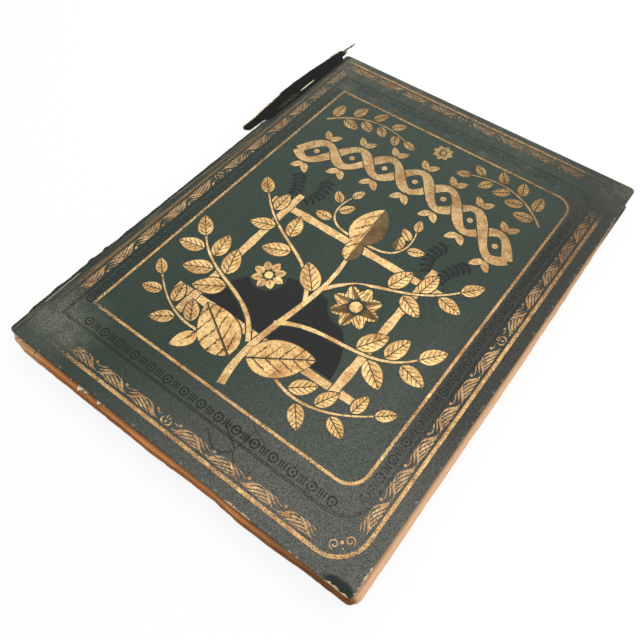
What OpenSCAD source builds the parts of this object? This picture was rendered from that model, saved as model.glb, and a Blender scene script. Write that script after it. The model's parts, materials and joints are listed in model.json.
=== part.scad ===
// A large scrapbook: cloth case with blocked front cover, sewn block of guarded leaves, torn spine.
// X runs from the spine to the fore edge, Y from the tail to the head, Z upwards.
// The origin is the middle of the rear cover's outer face, which lies on the table.

/* [Boards] */
// Width of each board, from spine to fore edge
board_w = 285; // [250:1:320]
// Height of each board, from tail to head
board_h = 380; // [340:1:420]
// Thickness of each millboard
board_t = 2.6; // [2:0.1:3.5]
// Radius of the bumped board corners
corner_r = 3; // [1.5:0.5:6]

/* [Cloth and papers] */
// Thickness of the book cloth
cloth_t = 0.4; // [0.3:0.05:0.6]
// Width of the cloth turned in over the inside of a board
turn_in = 15; // [10:1:20]
// Width of the turned-in cloth that a pastedown leaves showing
paste_edge = 5; // [3:0.5:8]
// Thickness of pastedowns and free endpapers
endpaper_t = 0.3; // [0.2:0.05:0.4]
// How far the torn cloth stands out past a board's spine edge
torn_w = 1.5; // [1:0.1:2.5]

/* [Leaves] */
// Thickness of a leaf
leaf_t = 0.4; // [0.3:0.05:0.6]
// How far the leaves stand out past the boards at the tail end of the fore edge
fore_out = 4; // [2:0.5:6]
// How much further in the leaves lie at the head end of the fore edge
fore_skew = 5; // [0:0.5:6]
// How far the leaves stand out past the boards at the tail edge
tail_out = 4; // [2:0.5:6]
// How far the leaves stop short of the boards at the head edge
head_in = 5; // [2:0.5:8]
// Depth of the wavy wear along the leaf edges
edge_wear = 1.2; // [0.4:0.1:2]
// Size of the worn-off corner at the tail of the spine
corner_wear = 9; // [4:1:14]
// Width of the guard strips between the sections
guard_w = 22; // [15:1:30]
// Thickness of the guard strips
guard_t = 0.35; // [0.25:0.05:0.5]

/* [Sewing] */
// Width of a sewing tape
tape_w = 12; // [8:1:16]
// Thickness of a sewing tape
tape_t = 0.35; // [0.25:0.05:0.5]
// Diameter of the sewing thread
thread_d = 0.5; // [0.3:0.05:0.6]
// Length of a stitch beyond each side of its tape
stitch_out = 1.6; // [1:0.2:3]
// Thickness of the mull glued to the spine folds
mull_t = 0.3; // [0.2:0.05:0.4]
// Thickness of the torn paper lining on the mull
lining_t = 0.2; // [0.1:0.05:0.3]
// Free depth kept behind the spine folds for the sewing
spine_depth = 1.1; // [1:0.1:2]

/* [Torn spine strip] */
// Width of the strip of spine cloth that still hangs on at the head
strip_w = 15; // [10:0.5:18]
// Length of the strip
strip_l = 150; // [110:5:170]
// How far the strip's tip stands past the head edge
strip_past = 14; // [6:1:20]
// Thickness of the strip's paper lining
strip_lining_t = 0.35; // [0.25:0.05:0.5]
// Width of lining left showing along the strip's outer edge
lining_show = 2.2; // [1:0.2:3.5]
// How far the strip sags below its joint
strip_sag = 0.6; // [0.2:0.1:0.8]

/* [Blocking] */
// Height of the gold and black blocking above the cloth
foil_t = 0.15; // [0.08:0.01:0.25]
// Width of the outer gilt rule
rule_w = 2.4; // [1.5:0.1:3.5]
// Distance of the outer rule from the fore edge
rule_fore = 9.4; // [8:0.2:12]
// Distance of the outer rule from the tail edge
rule_tail = 9.1; // [8:0.2:12]
// Distance of the outer rule from the head edge
rule_head = 7; // [6:0.2:12]
// Distance of the outer rule from the spine edge
rule_spine = 7.5; // [6:0.2:12]
// Corner radius of the outer rule on the fore side
rule_r = 22; // [16:1:28]
// Distance of the gilt scroll's middle from the outer rule
scroll_in = 6.4; // [6:0.2:7]
// Shortest length of one wave of the gilt scroll
scroll_pitch = 25.4; // [23:0.1:32]
// Distance of the ring band's middle from the panel rule
band_in = 6; // [5.5:0.2:7]
// Spacing of the rings along the band
ring_pitch = 14.5; // [13:0.5:18]
// Outer diameter of a ring
ring_d = 6.6; // [4:0.2:7]
// Width of the panel rule
panel_rule_w = 2; // [1:0.1:3]
// Distance of the panel rule from the fore edge
panel_fore = 32; // [29:0.5:40]
// Distance of the panel rule from the tail edge
panel_tail = 48; // [36:0.5:56]
// Distance of the panel rule from the head edge
panel_head = 44.5; // [36:0.5:56]
// Distance of the panel rule from the spine edge
panel_spine = 29.5; // [28:0.5:36]
// Corner radius of the panel rule on the fore side
panel_r = 14; // [8:1:20]

/* [Hidden] */
// Sections sewn into the block, leaves in each, and the loose leaves that turn with the cover
sections = 6;
section_leaves = 4;
turning = 5;
// Slack between the block and a cover, or between a strip and what it hangs on
slack = 0.05;
strip_gap = 0.3;
eps = 1;

// Heights of the stack, from the table up
rear_inner = cloth_t + board_t;
rear_top = rear_inner + cloth_t + endpaper_t;
block_z = rear_top + slack;
section_t = section_leaves * leaf_t;
step_z = guard_t + section_t;
hinge_z = block_z + endpaper_t + sections * step_z;
turning_t = turning * leaf_t + endpaper_t;
cover_z = hinge_z + turning_t + slack;
front_inner = cover_z + endpaper_t + cloth_t;
cover_top = front_inner + board_t + cloth_t;

// Places across the book
spine_edge = -board_w / 2;
tail_edge = -board_h / 2;
head_edge = board_h / 2;
cover_joint_x = spine_edge - torn_w;
leaf_joint_x = spine_edge + 1;
fold_x = leaf_joint_x + spine_depth;
leaf_fore = board_w / 2 + fore_out;
leaf_tail = tail_edge - tail_out;
leaf_head = head_edge - head_in;
fold_tail = leaf_tail + corner_wear + edge_wear;

// A repeatable ragged value from 0 to 1
function ragged(k) = abs(sin(k * 137.5 + 40 * sin(k * 61)));

// Points on a cubic curve, and the strip of a given half width around it
function bezier(p, t) = pow(1 - t, 3) * p[0] + 3 * t * pow(1 - t, 2) * p[1]
    + 3 * t * t * (1 - t) * p[2] + pow(t, 3) * p[3];
function slope(p, t) = 3 * pow(1 - t, 2) * (p[1] - p[0]) + 6 * t * (1 - t) * (p[2] - p[1])
    + 3 * t * t * (p[3] - p[2]);
function unit(v) = v / norm(v);
function left_of(v) = [-v[1], v[0]];
function ribbon(mid, side, half) = concat(
    [for (i = [0 : len(mid) - 1]) mid[i] + side[i] * half[i]],
    [for (i = [len(mid) - 1 : -1 : 0]) mid[i] - side[i] * half[i]]
);

// Flat shapes shared by the boards, the cloth and the blocking

module board_outline(grow = 0) {
    w = board_w + 2 * grow;
    h = board_h + 2 * grow;
    r = corner_r + grow;
    square([w - 2 * r, h], center = true);
    square([w, h - 2 * r], center = true);
    for (x = [r - w / 2, w / 2 - r], y = [r - h / 2, h / 2 - r])
        translate([x, y]) circle(r = r, $fn = 48);
}

// The area inside the turn-ins. It runs out over the spine edge, which has none.
module window(grow = 0) {
    margin = turn_in - grow;
    translate([spine_edge - eps, tail_edge + margin])
        square([board_w + eps - margin, board_h - 2 * margin]);
}

// Frame with square corners at the spine and round ones at the fore edge
module d_outline(x0, x1, y0, y1, r) {
    translate([x0, y0]) square([x1 - x0 - r, y1 - y0]);
    translate([x0, y0 + r]) square([x1 - x0, y1 - y0 - 2 * r]);
    for (y = [y0 + r, y1 - r]) translate([x1 - r, y]) circle(r = r, $fn = 96);
}

module d_rule(x0, x1, y0, y1, r, w) {
    difference() {
        d_outline(x0 - w / 2, x1 + w / 2, y0 - w / 2, y1 + w / 2, r + w / 2);
        d_outline(x0 + w / 2, x1 - w / 2, y0 + w / 2, y1 - w / 2, r - w / 2);
    }
}

// A bent leaf blade along a cubic curve
module blade(p, w, n = 6) {
    polygon(ribbon(
        [for (i = [0 : n]) bezier(p, i / n)],
        [for (i = [0 : n]) left_of(unit(slope(p, i / n)))],
        [for (i = [0 : n]) max(0.08, w / 2 * pow(sin(180 * i / n), 0.8))]
    ));
}

// A twig along a cubic curve that thins from w0 to w1, with small knots
module twig(p, w0, w1, n = 10, knots = 0.12, grow = 0) {
    polygon(ribbon(
        [for (i = [0 : n]) bezier(p, i / n)],
        [for (i = [0 : n]) left_of(unit(slope(p, i / n)))],
        [for (i = [0 : n]) grow + (w0 + (w1 - w0) * i / n) / 2 * (1 + knots * sin(i * 150))]
    ));
}

// Outline of a leaf that grows along +X from its stalk, and the same leaf as two half blades
// with a bare midrib between them
function leaf_side(length, width, n, grow = 0) = [for (i = [1 : n - 1])
    let (t = i / n) [length * t, grow + width / 2 * pow(sin(180 * pow(t, 0.8)), 0.75)]];
function leaf_points(length) = length > 30 ? 14 : length > 12 ? 8 : 5;
module leaf_silhouette(length, width, grow = 0) {
    n = leaf_points(length);
    upper = leaf_side(length, width, n, grow);
    polygon(concat(
        [[-grow, 0]], upper, [[length + grow, 0]],
        [for (i = [len(upper) - 1 : -1 : 0]) [upper[i][0], -upper[i][1]]]
    ));
}
module veined_leaf(length, width) {
    n = leaf_points(length);
    rib = max(0.35, width * 0.03);
    half = leaf_side(length, width - rib, n, rib / 2);
    for (m = [0, 1]) mirror([0, m])
        polygon(concat([[0, rib / 2]], half, [[length, rib / 4]]));
}

// Case

// Cloth over a board that lies from z = 0 to board_t with its outer face up.
// It wraps three edges, is turned in on the inside, and is torn along the spine.
module board_cloth() {
    notches = 40;
    run = board_h - 2 * corner_r;
    difference() {
        translate([0, 0, -cloth_t]) linear_extrude(board_t + 2 * cloth_t) board_outline(cloth_t);
        linear_extrude(board_t) {
            board_outline();
            translate([spine_edge - 2, tail_edge + corner_r]) square([2 + corner_r, run]);
        }
        translate([0, 0, -cloth_t - eps]) linear_extrude(cloth_t + 2 * eps) window();
    }
    // ragged fringe past the spine edge
    translate([0, 0, board_t]) linear_extrude(cloth_t) polygon(concat(
        [[spine_edge + corner_r, head_edge - corner_r], [spine_edge + corner_r, tail_edge + corner_r]],
        [for (i = [0 : notches])
            [i == notches / 2 ? cover_joint_x : spine_edge - torn_w * (0.35 + 0.6 * ragged(i)),
             tail_edge + corner_r + run * i / notches]]
    ));
}

// Endpaper pasted over the turn-ins. It dips onto the bare board inside them.
// z = 0 is the board's inner face, and the paper lies below it.
module pastedown() {
    difference() {
        translate([0, 0, -cloth_t - endpaper_t]) {
            linear_extrude(endpaper_t) intersection() {
                board_outline();
                window(turn_in - paste_edge);
            }
            linear_extrude(cloth_t + endpaper_t) intersection() {
                board_outline();
                window();
            }
        }
        translate([0, 0, -cloth_t - endpaper_t - eps])
            linear_extrude(cloth_t + eps) intersection() {
                translate([-eps, 0]) board_outline();
                window(-endpaper_t);
            }
    }
}

module rear_board() {
    color("#b39b74") translate([0, 0, cloth_t]) linear_extrude(board_t) board_outline();
}

module rear_cloth() {
    color("#2f4a3f") translate([0, 0, rear_inner]) mirror([0, 0, 1]) board_cloth();
}

module rear_pastedown() {
    color("#e2d3ae") translate([0, 0, rear_inner]) mirror([0, 0, 1]) pastedown();
}

module front_board() {
    color("#b39b74") translate([0, 0, front_inner]) linear_extrude(board_t) board_outline();
}

module front_cloth() {
    color("#2f4a3f") translate([0, 0, front_inner]) board_cloth();
}

module front_pastedown() {
    color("#e2d3ae") translate([0, 0, front_inner]) pastedown();
}

// Leaves

// Outline of leaf number k, with a wavy tail edge, a skewed fore edge and a worn corner at the spine.
module leaf_outline(k, from_x) {
    waves = 11;
    steps = 8;
    chip = corner_wear * (0.55 + 0.45 * ragged(k));
    tail_x = fold_x + corner_wear + edge_wear;
    tail_l = leaf_fore - 2 * edge_wear - tail_x;
    polygon(concat(
        [[from_x, leaf_head], [from_x, leaf_tail + edge_wear + chip]],
        [[fold_x + chip * 0.45, leaf_tail + edge_wear + chip * 0.3]],
        [for (i = [0 : waves])
            [tail_x + tail_l * i / waves,
             leaf_tail + (k == 0 && i == 4 ? 0 : edge_wear * ragged(k * 3 + i))]],
        [for (i = [0 : steps])
            [leaf_fore - fore_skew * i / steps - (i == 0 ? 0 : edge_wear * ragged(k * 5 + i)),
             leaf_tail + 2 * edge_wear + (leaf_head - leaf_tail - 2 * edge_wear) * i / steps]]
    ));
}

module leaf_sheet(k, z, t, from_x) {
    translate([0, 0, z]) linear_extrude(t) leaf_outline(k, from_x);
}

// A gathering of folded sheets, with its rounded folds at the spine.
module section(n) {
    z = block_z + endpaper_t + (n - 1) * step_z + guard_t;
    r = section_t * 0.32;
    color("#d9bb8d") {
        for (k = [0 : section_leaves - 1])
            leaf_sheet((n - 1) * section_leaves + k, z + k * leaf_t, leaf_t, fold_x + r);
        translate([fold_x, fold_tail, z + r]) cube([r, leaf_head - fold_tail, section_t - 2 * r]);
        for (zc = [z + r, z + section_t - r])
            translate([fold_x + r, fold_tail, zc]) rotate([-90, 0, 0])
                cylinder(r = r, h = leaf_head - fold_tail, $fn = 32);
    }
}

module rear_free_endpaper() {
    color("#e2d3ae") leaf_sheet(31, block_z, endpaper_t, fold_x);
}

// Strips that make room between the sections for what is pasted in
module guard_strips() {
    color("#c9b48a") for (n = [0 : sections - 1])
        translate([fold_x + section_t * 0.32, fold_tail, block_z + endpaper_t + n * step_z])
            cube([guard_w, leaf_head - fold_tail, guard_t]);
}

module leaf(n) {
    color("#dcc097")
        leaf_sheet(23 + n, hinge_z + (n - 1) * leaf_t, leaf_t, leaf_joint_x + slack);
}

module front_free_endpaper() {
    color("#e2d3ae")
        leaf_sheet(30, hinge_z + turning * leaf_t, endpaper_t, leaf_joint_x + slack);
}

// Sewing and spine

tapes = 4;
fold_l = leaf_head - fold_tail;
function tape_y(i) = fold_tail + fold_l * (i + 1) / (tapes + 1);
function section_mid(n) = block_z + endpaper_t + (n - 0.5) * step_z + guard_t / 2;

module sewing_tapes() {
    color("#b9a67f") for (i = [0 : tapes - 1])
        translate([fold_x - tape_t, tape_y(i) - tape_w / 2, block_z + endpaper_t + guard_t])
            cube([tape_t, tape_w, hinge_z - block_z - endpaper_t - 2 * guard_t]);
}

// One stitch over a tape, with its ends going into the fold
module stitch() {
    span = tape_w + 2 * stitch_out;
    out = tape_t + thread_d / 2;
    translate([-out, -span / 2, 0]) {
        rotate([-90, 0, 0]) cylinder(d = thread_d, h = span, $fn = 16);
        for (y = [0, span]) translate([0, y, 0]) {
            sphere(d = thread_d, $fn = 16);
            rotate([0, 90, 0]) cylinder(d = thread_d, h = out, $fn = 16);
        }
    }
}

// Stitches over every tape, and the kettle stitches that link the sections near head and tail
module sewing_thread() {
    kettle_in = 14;
    color("#d8c9a3") {
        for (n = [1 : sections], i = [0 : tapes - 1])
            translate([fold_x, tape_y(i), section_mid(n)]) stitch();
        for (y = [fold_tail + kettle_in, leaf_head - kettle_in]) {
            translate([fold_x - thread_d * 0.8, y, section_mid(1)])
                cylinder(d = thread_d, h = section_mid(sections) - section_mid(1), $fn = 16);
            for (n = [1 : sections]) translate([fold_x - thread_d * 1.5, y, section_mid(n)])
                rotate([0, 90, 0]) cylinder(d = thread_d * 2, h = thread_d * 1.5, $fn = 24);
        }
    }
}

// Panels of open cloth glued to the folds between the tapes, torn away towards the tail
module mull() {
    clear = tape_w / 2 + stitch_out + thread_d + 0.5;
    low = block_z + endpaper_t + guard_t;
    color("#cbbd96") for (i = [1 : tapes - 2])
        translate([fold_x - mull_t, 0, 0]) rotate([90, 0, 90]) linear_extrude(mull_t) polygon(concat(
            [[tape_y(i + 1) - clear, low], [tape_y(i + 1) - clear, hinge_z - guard_t]],
            [for (k = [0 : 6])
                [tape_y(i) + clear + (fold_l / (tapes + 1) - 2 * clear) * (1 - k / 6) * 0.96,
                 hinge_z - guard_t - (k == 0 ? 0 : 2.5 * ragged(i * 7 + k))]],
            [[tape_y(i) + clear, low]]
        ));
}

// What is left of the paper lining, on the mull
module spine_paper() {
    clear = tape_w / 2 + stitch_out + thread_d + 3;
    y0 = tape_y(tapes - 2) + clear;
    y1 = tape_y(tapes - 1) - clear;
    low = block_z + endpaper_t + 2 * guard_t;
    high = hinge_z - 4 * guard_t - 2.5;
    color("#a98a5c")
        translate([fold_x - mull_t - lining_t, 0, 0]) rotate([90, 0, 90]) linear_extrude(lining_t)
            polygon(concat(
                [[y0, low], [y1, low]],
                [for (k = [0 : 8]) [y1 - (y1 - y0) * k / 8, high - 3 * ragged(k + 4)]]
            ));
}

// Torn strip of spine cloth at the head, with its paper lining

strip_tail = head_edge + strip_past - strip_l;
strip_steps = 26;
function strip_y(i) = strip_tail + strip_l * i / strip_steps;
// Share of the full width at each step: a rounded lower end, a ragged middle, a pointed tip.
function strip_share(t) = t < 0.12 ? 0.35 + 0.65 * sin(750 * t)
    : t < 0.8 ? 0.9 + 0.1 * sin(900 * t) : 0.9 - 0.7 * (t - 0.8) / 0.2;
function strip_outer(i) = strip_w * strip_share(i / strip_steps);
// Past the head edge nothing holds the strip, so its inner edge draws away from the joint.
function strip_inner(i) = strip_gap + (strip_y(i) > head_edge - 2 ? 0.07 * strip_w : 0);
function strip_drop(share, i) = strip_sag * share * (0.6 + 0.4 * sin(i * 55));

// A sheet lofted along Y. Each ring has its top and bottom edge at four places across.
module strip_sheet(inner, outer, top, t) {
    across = 3;
    ring = 2 * (across + 1);
    points = [for (i = [0 : strip_steps]) each concat(
        [for (j = [0 : across]) let (s = j / across)
            [cover_joint_x - inner[i] - (outer[i] - inner[i]) * s, strip_y(i),
             cover_top - top - strip_drop(s, i)]],
        [for (j = [across : -1 : 0]) let (s = j / across)
            [cover_joint_x - inner[i] - (outer[i] - inner[i]) * s, strip_y(i),
             cover_top - top - t - strip_drop(s, i)]]
    )];
    caps = [for (j = [0 : across - 1]) each
        [[j, j + 1, ring - 2 - j], [j, ring - 2 - j, ring - 1 - j]]];
    last = strip_steps * ring;
    walls = [for (i = [0 : strip_steps - 1], j = [0 : ring - 1])
        let (a = i * ring + j, b = i * ring + (j + 1) % ring)
        each [[a, a + ring, b], [b, a + ring, b + ring]]];
    polyhedron(points, concat(
        walls,
        [for (f = caps) f],
        [for (f = caps) [last + f[2], last + f[1], last + f[0]]]
    ), convexity = 4);
}

module spine_strip() {
    color("#1d2320") strip_sheet(
        [for (i = [0 : strip_steps]) strip_inner(i)],
        [for (i = [0 : strip_steps]) max(strip_inner(i) + 1, strip_outer(i) - lining_show)],
        slack, cloth_t
    );
}

module strip_lining() {
    color("#e6d3a8") strip_sheet(
        [for (i = [0 : strip_steps]) strip_inner(i) + 0.4],
        [for (i = [0 : strip_steps]) max(strip_inner(i) + 1.4, strip_outer(i))],
        slack + cloth_t + strip_gap, strip_lining_t
    );
}

// Blocking on the front cover, drawn from the board's corner at the tail of the spine

rule_x0 = rule_spine;
rule_x1 = board_w - rule_fore;
rule_y0 = rule_tail;
rule_y1 = board_h - rule_head;
panel_x0 = panel_spine;
panel_x1 = board_w - panel_fore;
panel_y0 = panel_tail;
panel_y1 = board_h - panel_head;

// How much closer to the panel the band of rings runs on the spine side
band_shift = 1;

module block(z_low = 0, z_high = foil_t) {
    translate([spine_edge, tail_edge, cover_top + z_low]) linear_extrude(z_high - z_low) children();
}

module outer_gilt_rule() {
    color("#c79a4c") block() d_rule(rule_x0, rule_x1, rule_y0, rule_y1, rule_r, rule_w);
}

module panel_gilt_rule() {
    color("#d2a556") block()
        d_rule(panel_x0, panel_x1, panel_y0, panel_y1, panel_r, panel_rule_w);
}

// Black double line round the band of rings: how far out it starts, its spacing and its width
line_out = band_in * 0.85;
line_pair = 1.2;
line_w = 0.5;

// Bare strip that the scroll leaves beside the outer rule and beside the double line
scroll_gap = 0.2;

// Length of the drawn wave, and how far it reaches from its middle line to the panel and to the rule
wave_l = 25.4;
wave_reach = [3.6, 4];
function scroll_room(rule, panel, band) =
    panel - band - line_out - line_pair - line_w / 2 - rule - scroll_in - scroll_gap;
scroll_fit = min(
    (scroll_in - rule_w / 2 - scroll_gap) / wave_reach[1],
    scroll_room(rule_fore, panel_fore, band_in) / wave_reach[0],
    scroll_room(rule_spine, panel_spine, band_in - band_shift) / wave_reach[0],
    scroll_room(rule_tail, panel_tail, 2 * band_in) / wave_reach[0],
    scroll_room(rule_head, panel_head, 2 * band_in) / wave_reach[0]
);

// One wave of the running scroll, along +X: a bent stem, three feathered blades and a stalked berry
module scroll_wave() {
    blade([[-12.6, -2.6], [-7, -4.4], [-6.5, 3.6], [0, 3.2]], 1.7, 6);
    blade([[-0.2, 3.2], [6, 3.2], [6.5, -2.6], [12.6, -3.2]], 1.9, 6);
    blade([[-9.6, -3.7], [-5.5, -2.6], [-3.4, 1.6], [3.4, 1.8]], 1.7, 6);
    blade([[-6.2, -3.8], [-2.2, -2.8], [0.4, 0.6], [5.8, 0.4]], 1.6, 6);
    blade([[-2.6, -3.8], [1, -3.4], [3.2, -0.8], [8, -1.2]], 1.4, 6);
    blade([[1.4, -3.8], [4.4, -3.6], [6, -2.4], [10, -2.8]], 1, 5);
    blade([[3.6, 3.3], [7, 3.6], [8.4, 0.4], [12.4, -0.9]], 1.3, 5);
    blade([[8, 3.4], [10, 3.2], [11, 2], [13, 1.2]], 0.8, 4);
    blade([[-13, 1.6], [-11.6, 1], [-10.4, 0.8], [-9.4, 1.6]], 0.6, 4);
    translate([-8.8, 2.3]) circle(r = 1, $fn = 16);
}

// Small bud between the two halves of a side
module scroll_centre() {
    for (m = [0, 1]) mirror([m, 0]) {
        blade([[0.5, -3.2], [3.4, -3.2], [5, -0.5], [2.6, 1.4]], 1.3);
        blade([[0.4, 0.4], [1.4, 1.2], [1.6, 2.4], [0.5, 3.4]], 1);
    }
    translate([0, -1.2]) circle(r = 0.8, $fn = 16);
}

module scroll_side(run) {
    centre_l = 5.6;
    count = round((run / 2 - centre_l) / scroll_pitch);
    gap = (run / 2 - centre_l) / count;
    scale(scroll_fit) scroll_centre();
    for (m = [0, 1]) mirror([m, 0]) for (i = [0 : count - 1])
        translate([centre_l + (i + 0.5) * gap, 0]) scale([gap / wave_l, scroll_fit]) scroll_wave();
}

// Facing tendrils with a small rosette, set across a round corner
module corner_tendrils() {
    turns = 10;
    way = [for (i = [0 : turns]) [cos(i * 42), sin(i * 42)]];
    for (m = [0, 1]) mirror([m, 0]) polygon(ribbon(
        [for (i = [0 : turns]) [4.6, 0] + (1 + 2.2 * i / turns) * way[i]],
        way,
        [for (i = [0 : turns]) 0.3]
    ));
    for (a = [45 : 90 : 315]) rotate(a) translate([0.62, 0]) circle(r = 0.55, $fn = 12);
    translate([0, 3.6]) circle(r = 0.45, $fn = 12);
}

module gilt_scroll() {
    x0 = rule_x0 + scroll_in;
    x1 = rule_x1 - scroll_in;
    y0 = rule_y0 + scroll_in;
    y1 = rule_y1 - scroll_in;
    r = rule_r - scroll_in;
    run_x = x1 - x0 - r - scroll_in;
    run_y = y1 - y0 - 2 * r - 2;
    color("#c0954b") block() {
        translate([x0 + 2 + run_x / 2, y0]) scroll_side(run_x);
        translate([x0 + 2 + run_x / 2, y1]) mirror([0, 1]) scroll_side(run_x);
        translate([x1, (y0 + y1) / 2]) rotate(90) scroll_side(run_y);
        translate([x0, (y0 + y1) / 2]) rotate(-90) scroll_side(y1 - y0 - 2 * scroll_in);
        for (m = [-1, 1])
            translate([x1 - r * 0.35, (y0 + y1) / 2 + m * ((y1 - y0) / 2 - r * 0.35)])
                rotate(m > 0 ? -45 : 45 + 180) corner_tendrils();
        for (m = [-1, 1])
            translate([x0 + 1.5, (y0 + y1) / 2 + m * ((y1 - y0) / 2 - 1.5)])
                rotate(m > 0 ? -135 : -45) scale(0.85) scroll_centre();
    }
}

// Rings with a centre dot, and three bars between neighbours, outside the panel, with a double line
module band_side(run) {
    count = round(run / ring_pitch);
    gap = run / count;
    bar = [0.8, ring_d * 0.8];
    for (i = [0 : count - 1]) translate([(i + 0.5) * gap - run / 2, 0]) {
        difference() {
            circle(d = ring_d, $fn = 32);
            circle(d = ring_d * 0.72, $fn = 32);
        }
        circle(d = ring_d * 0.24, $fn = 16);
        if (i < count - 1) for (k = [-1, 0, 1])
            translate([gap / 2 + k * 1.9, 0]) square(bar, center = true);
    }
}

module black_band() {
    x0 = panel_x0 - band_in + band_shift;
    x1 = panel_x1 + band_in;
    y0 = panel_y0 - 2 * band_in;
    y1 = panel_y1 + 2 * band_in;
    corner = ring_d;
    color("#171b19") block(0, foil_t / 2) {
        for (y = [y0, y1]) translate([(x0 + x1) / 2, y]) band_side(x1 - x0 - 2 * corner);
        for (x = [x0, x1]) translate([x, (y0 + y1) / 2]) rotate(90) band_side(y1 - y0 - 2 * corner);
        for (grow = [line_out, line_out + line_pair])
            d_rule(x0 - grow, x1 + grow, y0 - grow, y1 + grow, panel_r + grow, line_w);
    }
}

// The panel's picture is drawn on a sheet of its own size and fitted into the panel rule.
// Its places are measured on the sheet, and art_middle is the one that comes to the panel's middle.

art_w = 223.5;
art_h = 287.5;
art_middle = [111.75, 143.75];
art = min((panel_x1 - panel_x0) / art_w, (panel_y1 - panel_y0) / art_h);
function on_panel(p) = [
    (panel_x0 + panel_x1) / 2 + art * (p[0] - art_middle[0]),
    (panel_y0 + panel_y1) / 2 + art * (p[1] - art_middle[1])
];
function panel_curve(p) = [for (q = p) on_panel(q)];
module at_panel(p, turn = 0) translate(on_panel(p)) rotate(turn) children();

// Bare outline left round a shape that lies over another
outline = 0.9;

// Interlaced boughs that arch across the head of the panel

twist_loops = 7;
twist_w = 8.4;
twist_x = [14, 209.5];
twist_swing = 12;
function twist_arch(t) = let (x = twist_x[0] + (twist_x[1] - twist_x[0]) * t)
    [x, 204 + 28 * (1 - pow((x - art_middle[0]) / 100, 2))];
function twist_point(k, t) = twist_arch(t) + [0, twist_swing * sin(180 * twist_loops * t + 180 * k)];
function twist_side(k, t) = left_of(unit(twist_point(k, t + 0.002) - twist_point(k, t - 0.002)));
module twist_strand(k, t0, t1, grow = 0) {
    n = ceil((t1 - t0) * twist_loops * 10);
    ts = [for (i = [0 : n]) t0 + (t1 - t0) * i / n];
    polygon(ribbon(
        [for (t = ts) on_panel(twist_point(k, t))],
        [for (t = ts) twist_side(k, t)],
        [for (t = ts) art * (grow + twist_w / 2 * (0.86 + 0.14 * sin(t * 2600 + k * 90)))]
    ));
}

// At each crossing one strand passes over and the other is broken round it.
module twist_strands() {
    for (k = [0, 1]) difference() {
        twist_strand(k, 0, 1);
        for (i = [1 : twist_loops - 1]) if (i % 2 == k)
            twist_strand(1 - k, (i - 0.42) / twist_loops, (i + 0.42) / twist_loops, outline);
    }
}

// A pair of leaves outside each bend, and a berry inside each loop
sprig_l = 11.5;
module each_sprig() {
    for (i = [0 : twist_loops - 1], side = [-1, 1])
        at_panel(twist_arch((i + 0.5) / twist_loops)
            + [0, side * (twist_swing + twist_w / 2 + outline)], side * 90)
            for (hand = [-1, 1]) rotate(hand * 42) children();
}
module twist_mask() {
    for (k = [0, 1]) twist_strand(k, 0, 1, outline);
    each_sprig() leaf_silhouette(art * sprig_l, art * sprig_l * 0.54, outline);
}
module twist_sprigs() {
    each_sprig() veined_leaf(art * sprig_l, art * sprig_l * 0.54);
    for (i = [0 : twist_loops - 1]) at_panel(twist_arch((i + 0.5) / twist_loops))
        circle(r = art * 2.4, $fn = 24);
}

module gilt_twist() {
    color("#d2a556") block() {
        twist_strands();
        twist_sprigs();
    }
}

// Four crossed sticks that frame the middle of the panel

stick_w = 6.6;
stick_x = [50, 173];
stick_y = [46, 150];
stick_over = 16;

module stick(a, b, grow = 0) {
    bow = [0.8, 0.8];
    p = panel_curve([a, a + (b - a) / 3 + bow, a + (b - a) * 2 / 3 - bow, b]);
    twig(p, art * stick_w, art * stick_w * 0.85, 14, 0.1, grow);
}
module upright_sticks(grow = 0) {
    for (x = stick_x) stick([x, stick_y[0] - stick_over], [x, stick_y[1] + stick_over], grow);
}
module level_sticks(grow = 0) {
    for (y = stick_y) stick([stick_x[0] - stick_over, y], [stick_x[1] + stick_over, y], grow);
}

// Stems: the four points of each curve, and its width at the root and at the tip
stems = [
    [[[112, 6], [98, 50], [130, 96], [112, 150]], 5.6, 2.6],
    [[[105, 40], [84, 74], [46, 62], [18, 92]], 3.4, 1.3],
    [[[109, 62], [140, 86], [180, 64], [205, 98]], 3.4, 1.3],
    [[[115, 88], [96, 126], [62, 116], [26, 154]], 3, 1.2],
    [[[118, 104], [138, 138], [168, 124], [199, 162]], 3, 1.2],
    [[[88, 31], [66, 21], [42, 26], [18, 47]], 2.2, 1],
    [[[134, 31], [156, 21], [180, 26], [205, 47]], 2.2, 1],
    [[[10, 249], [28, 269], [54, 279], [84, 264]], 2, 0.9],
    [[[213, 249], [194, 269], [168, 279], [139, 264]], 2, 0.9],
    [[[106, 156], [82, 154], [76, 170], [83, 188]], 2, 0.9],
    [[[120, 156], [142, 155], [149, 170], [142, 189]], 2, 0.9]
];

// Leaves: the stem they grow from, the first and last place along it, how many, and their length
sprays = [
    [0, 0.66, 0.9, 2, 33],
    [1, 0.5, 0.98, 6, 29],
    [2, 0.56, 0.98, 5, 29],
    [3, 0.46, 0.98, 5, 26],
    [4, 0.5, 0.98, 5, 26],
    [5, 0.2, 0.98, 6, 21],
    [6, 0.2, 0.98, 6, 21],
    [7, 0.08, 0.94, 9, 17.5],
    [8, 0.08, 0.94, 9, 17.5],
    [9, 0.42, 0.98, 4, 17],
    [10, 0.42, 0.98, 4, 17]
];

// Large leaves: where they start, which way they point, their length and width
large_leaves = [
    [[102, 24], 150, 46, 29],
    [[112, 30], 34, 46, 29],
    [[112, 151], 92, 42, 27]
];

// Blossoms: their middle and radius
blossoms = [[[80, 91], 13], [[146, 106], 19], [[112, 274], 9]];
petals = 8;

module stems_shape(grow = 0) {
    for (s = stems) twig(panel_curve(s[0]), art * s[1], art * s[2], 12, 0.1, grow);
}

// How much shorter a leaf at the tip of a stem is, and its width to its length
leaf_taper = 0.3;
leaf_share = 0.58;

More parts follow.
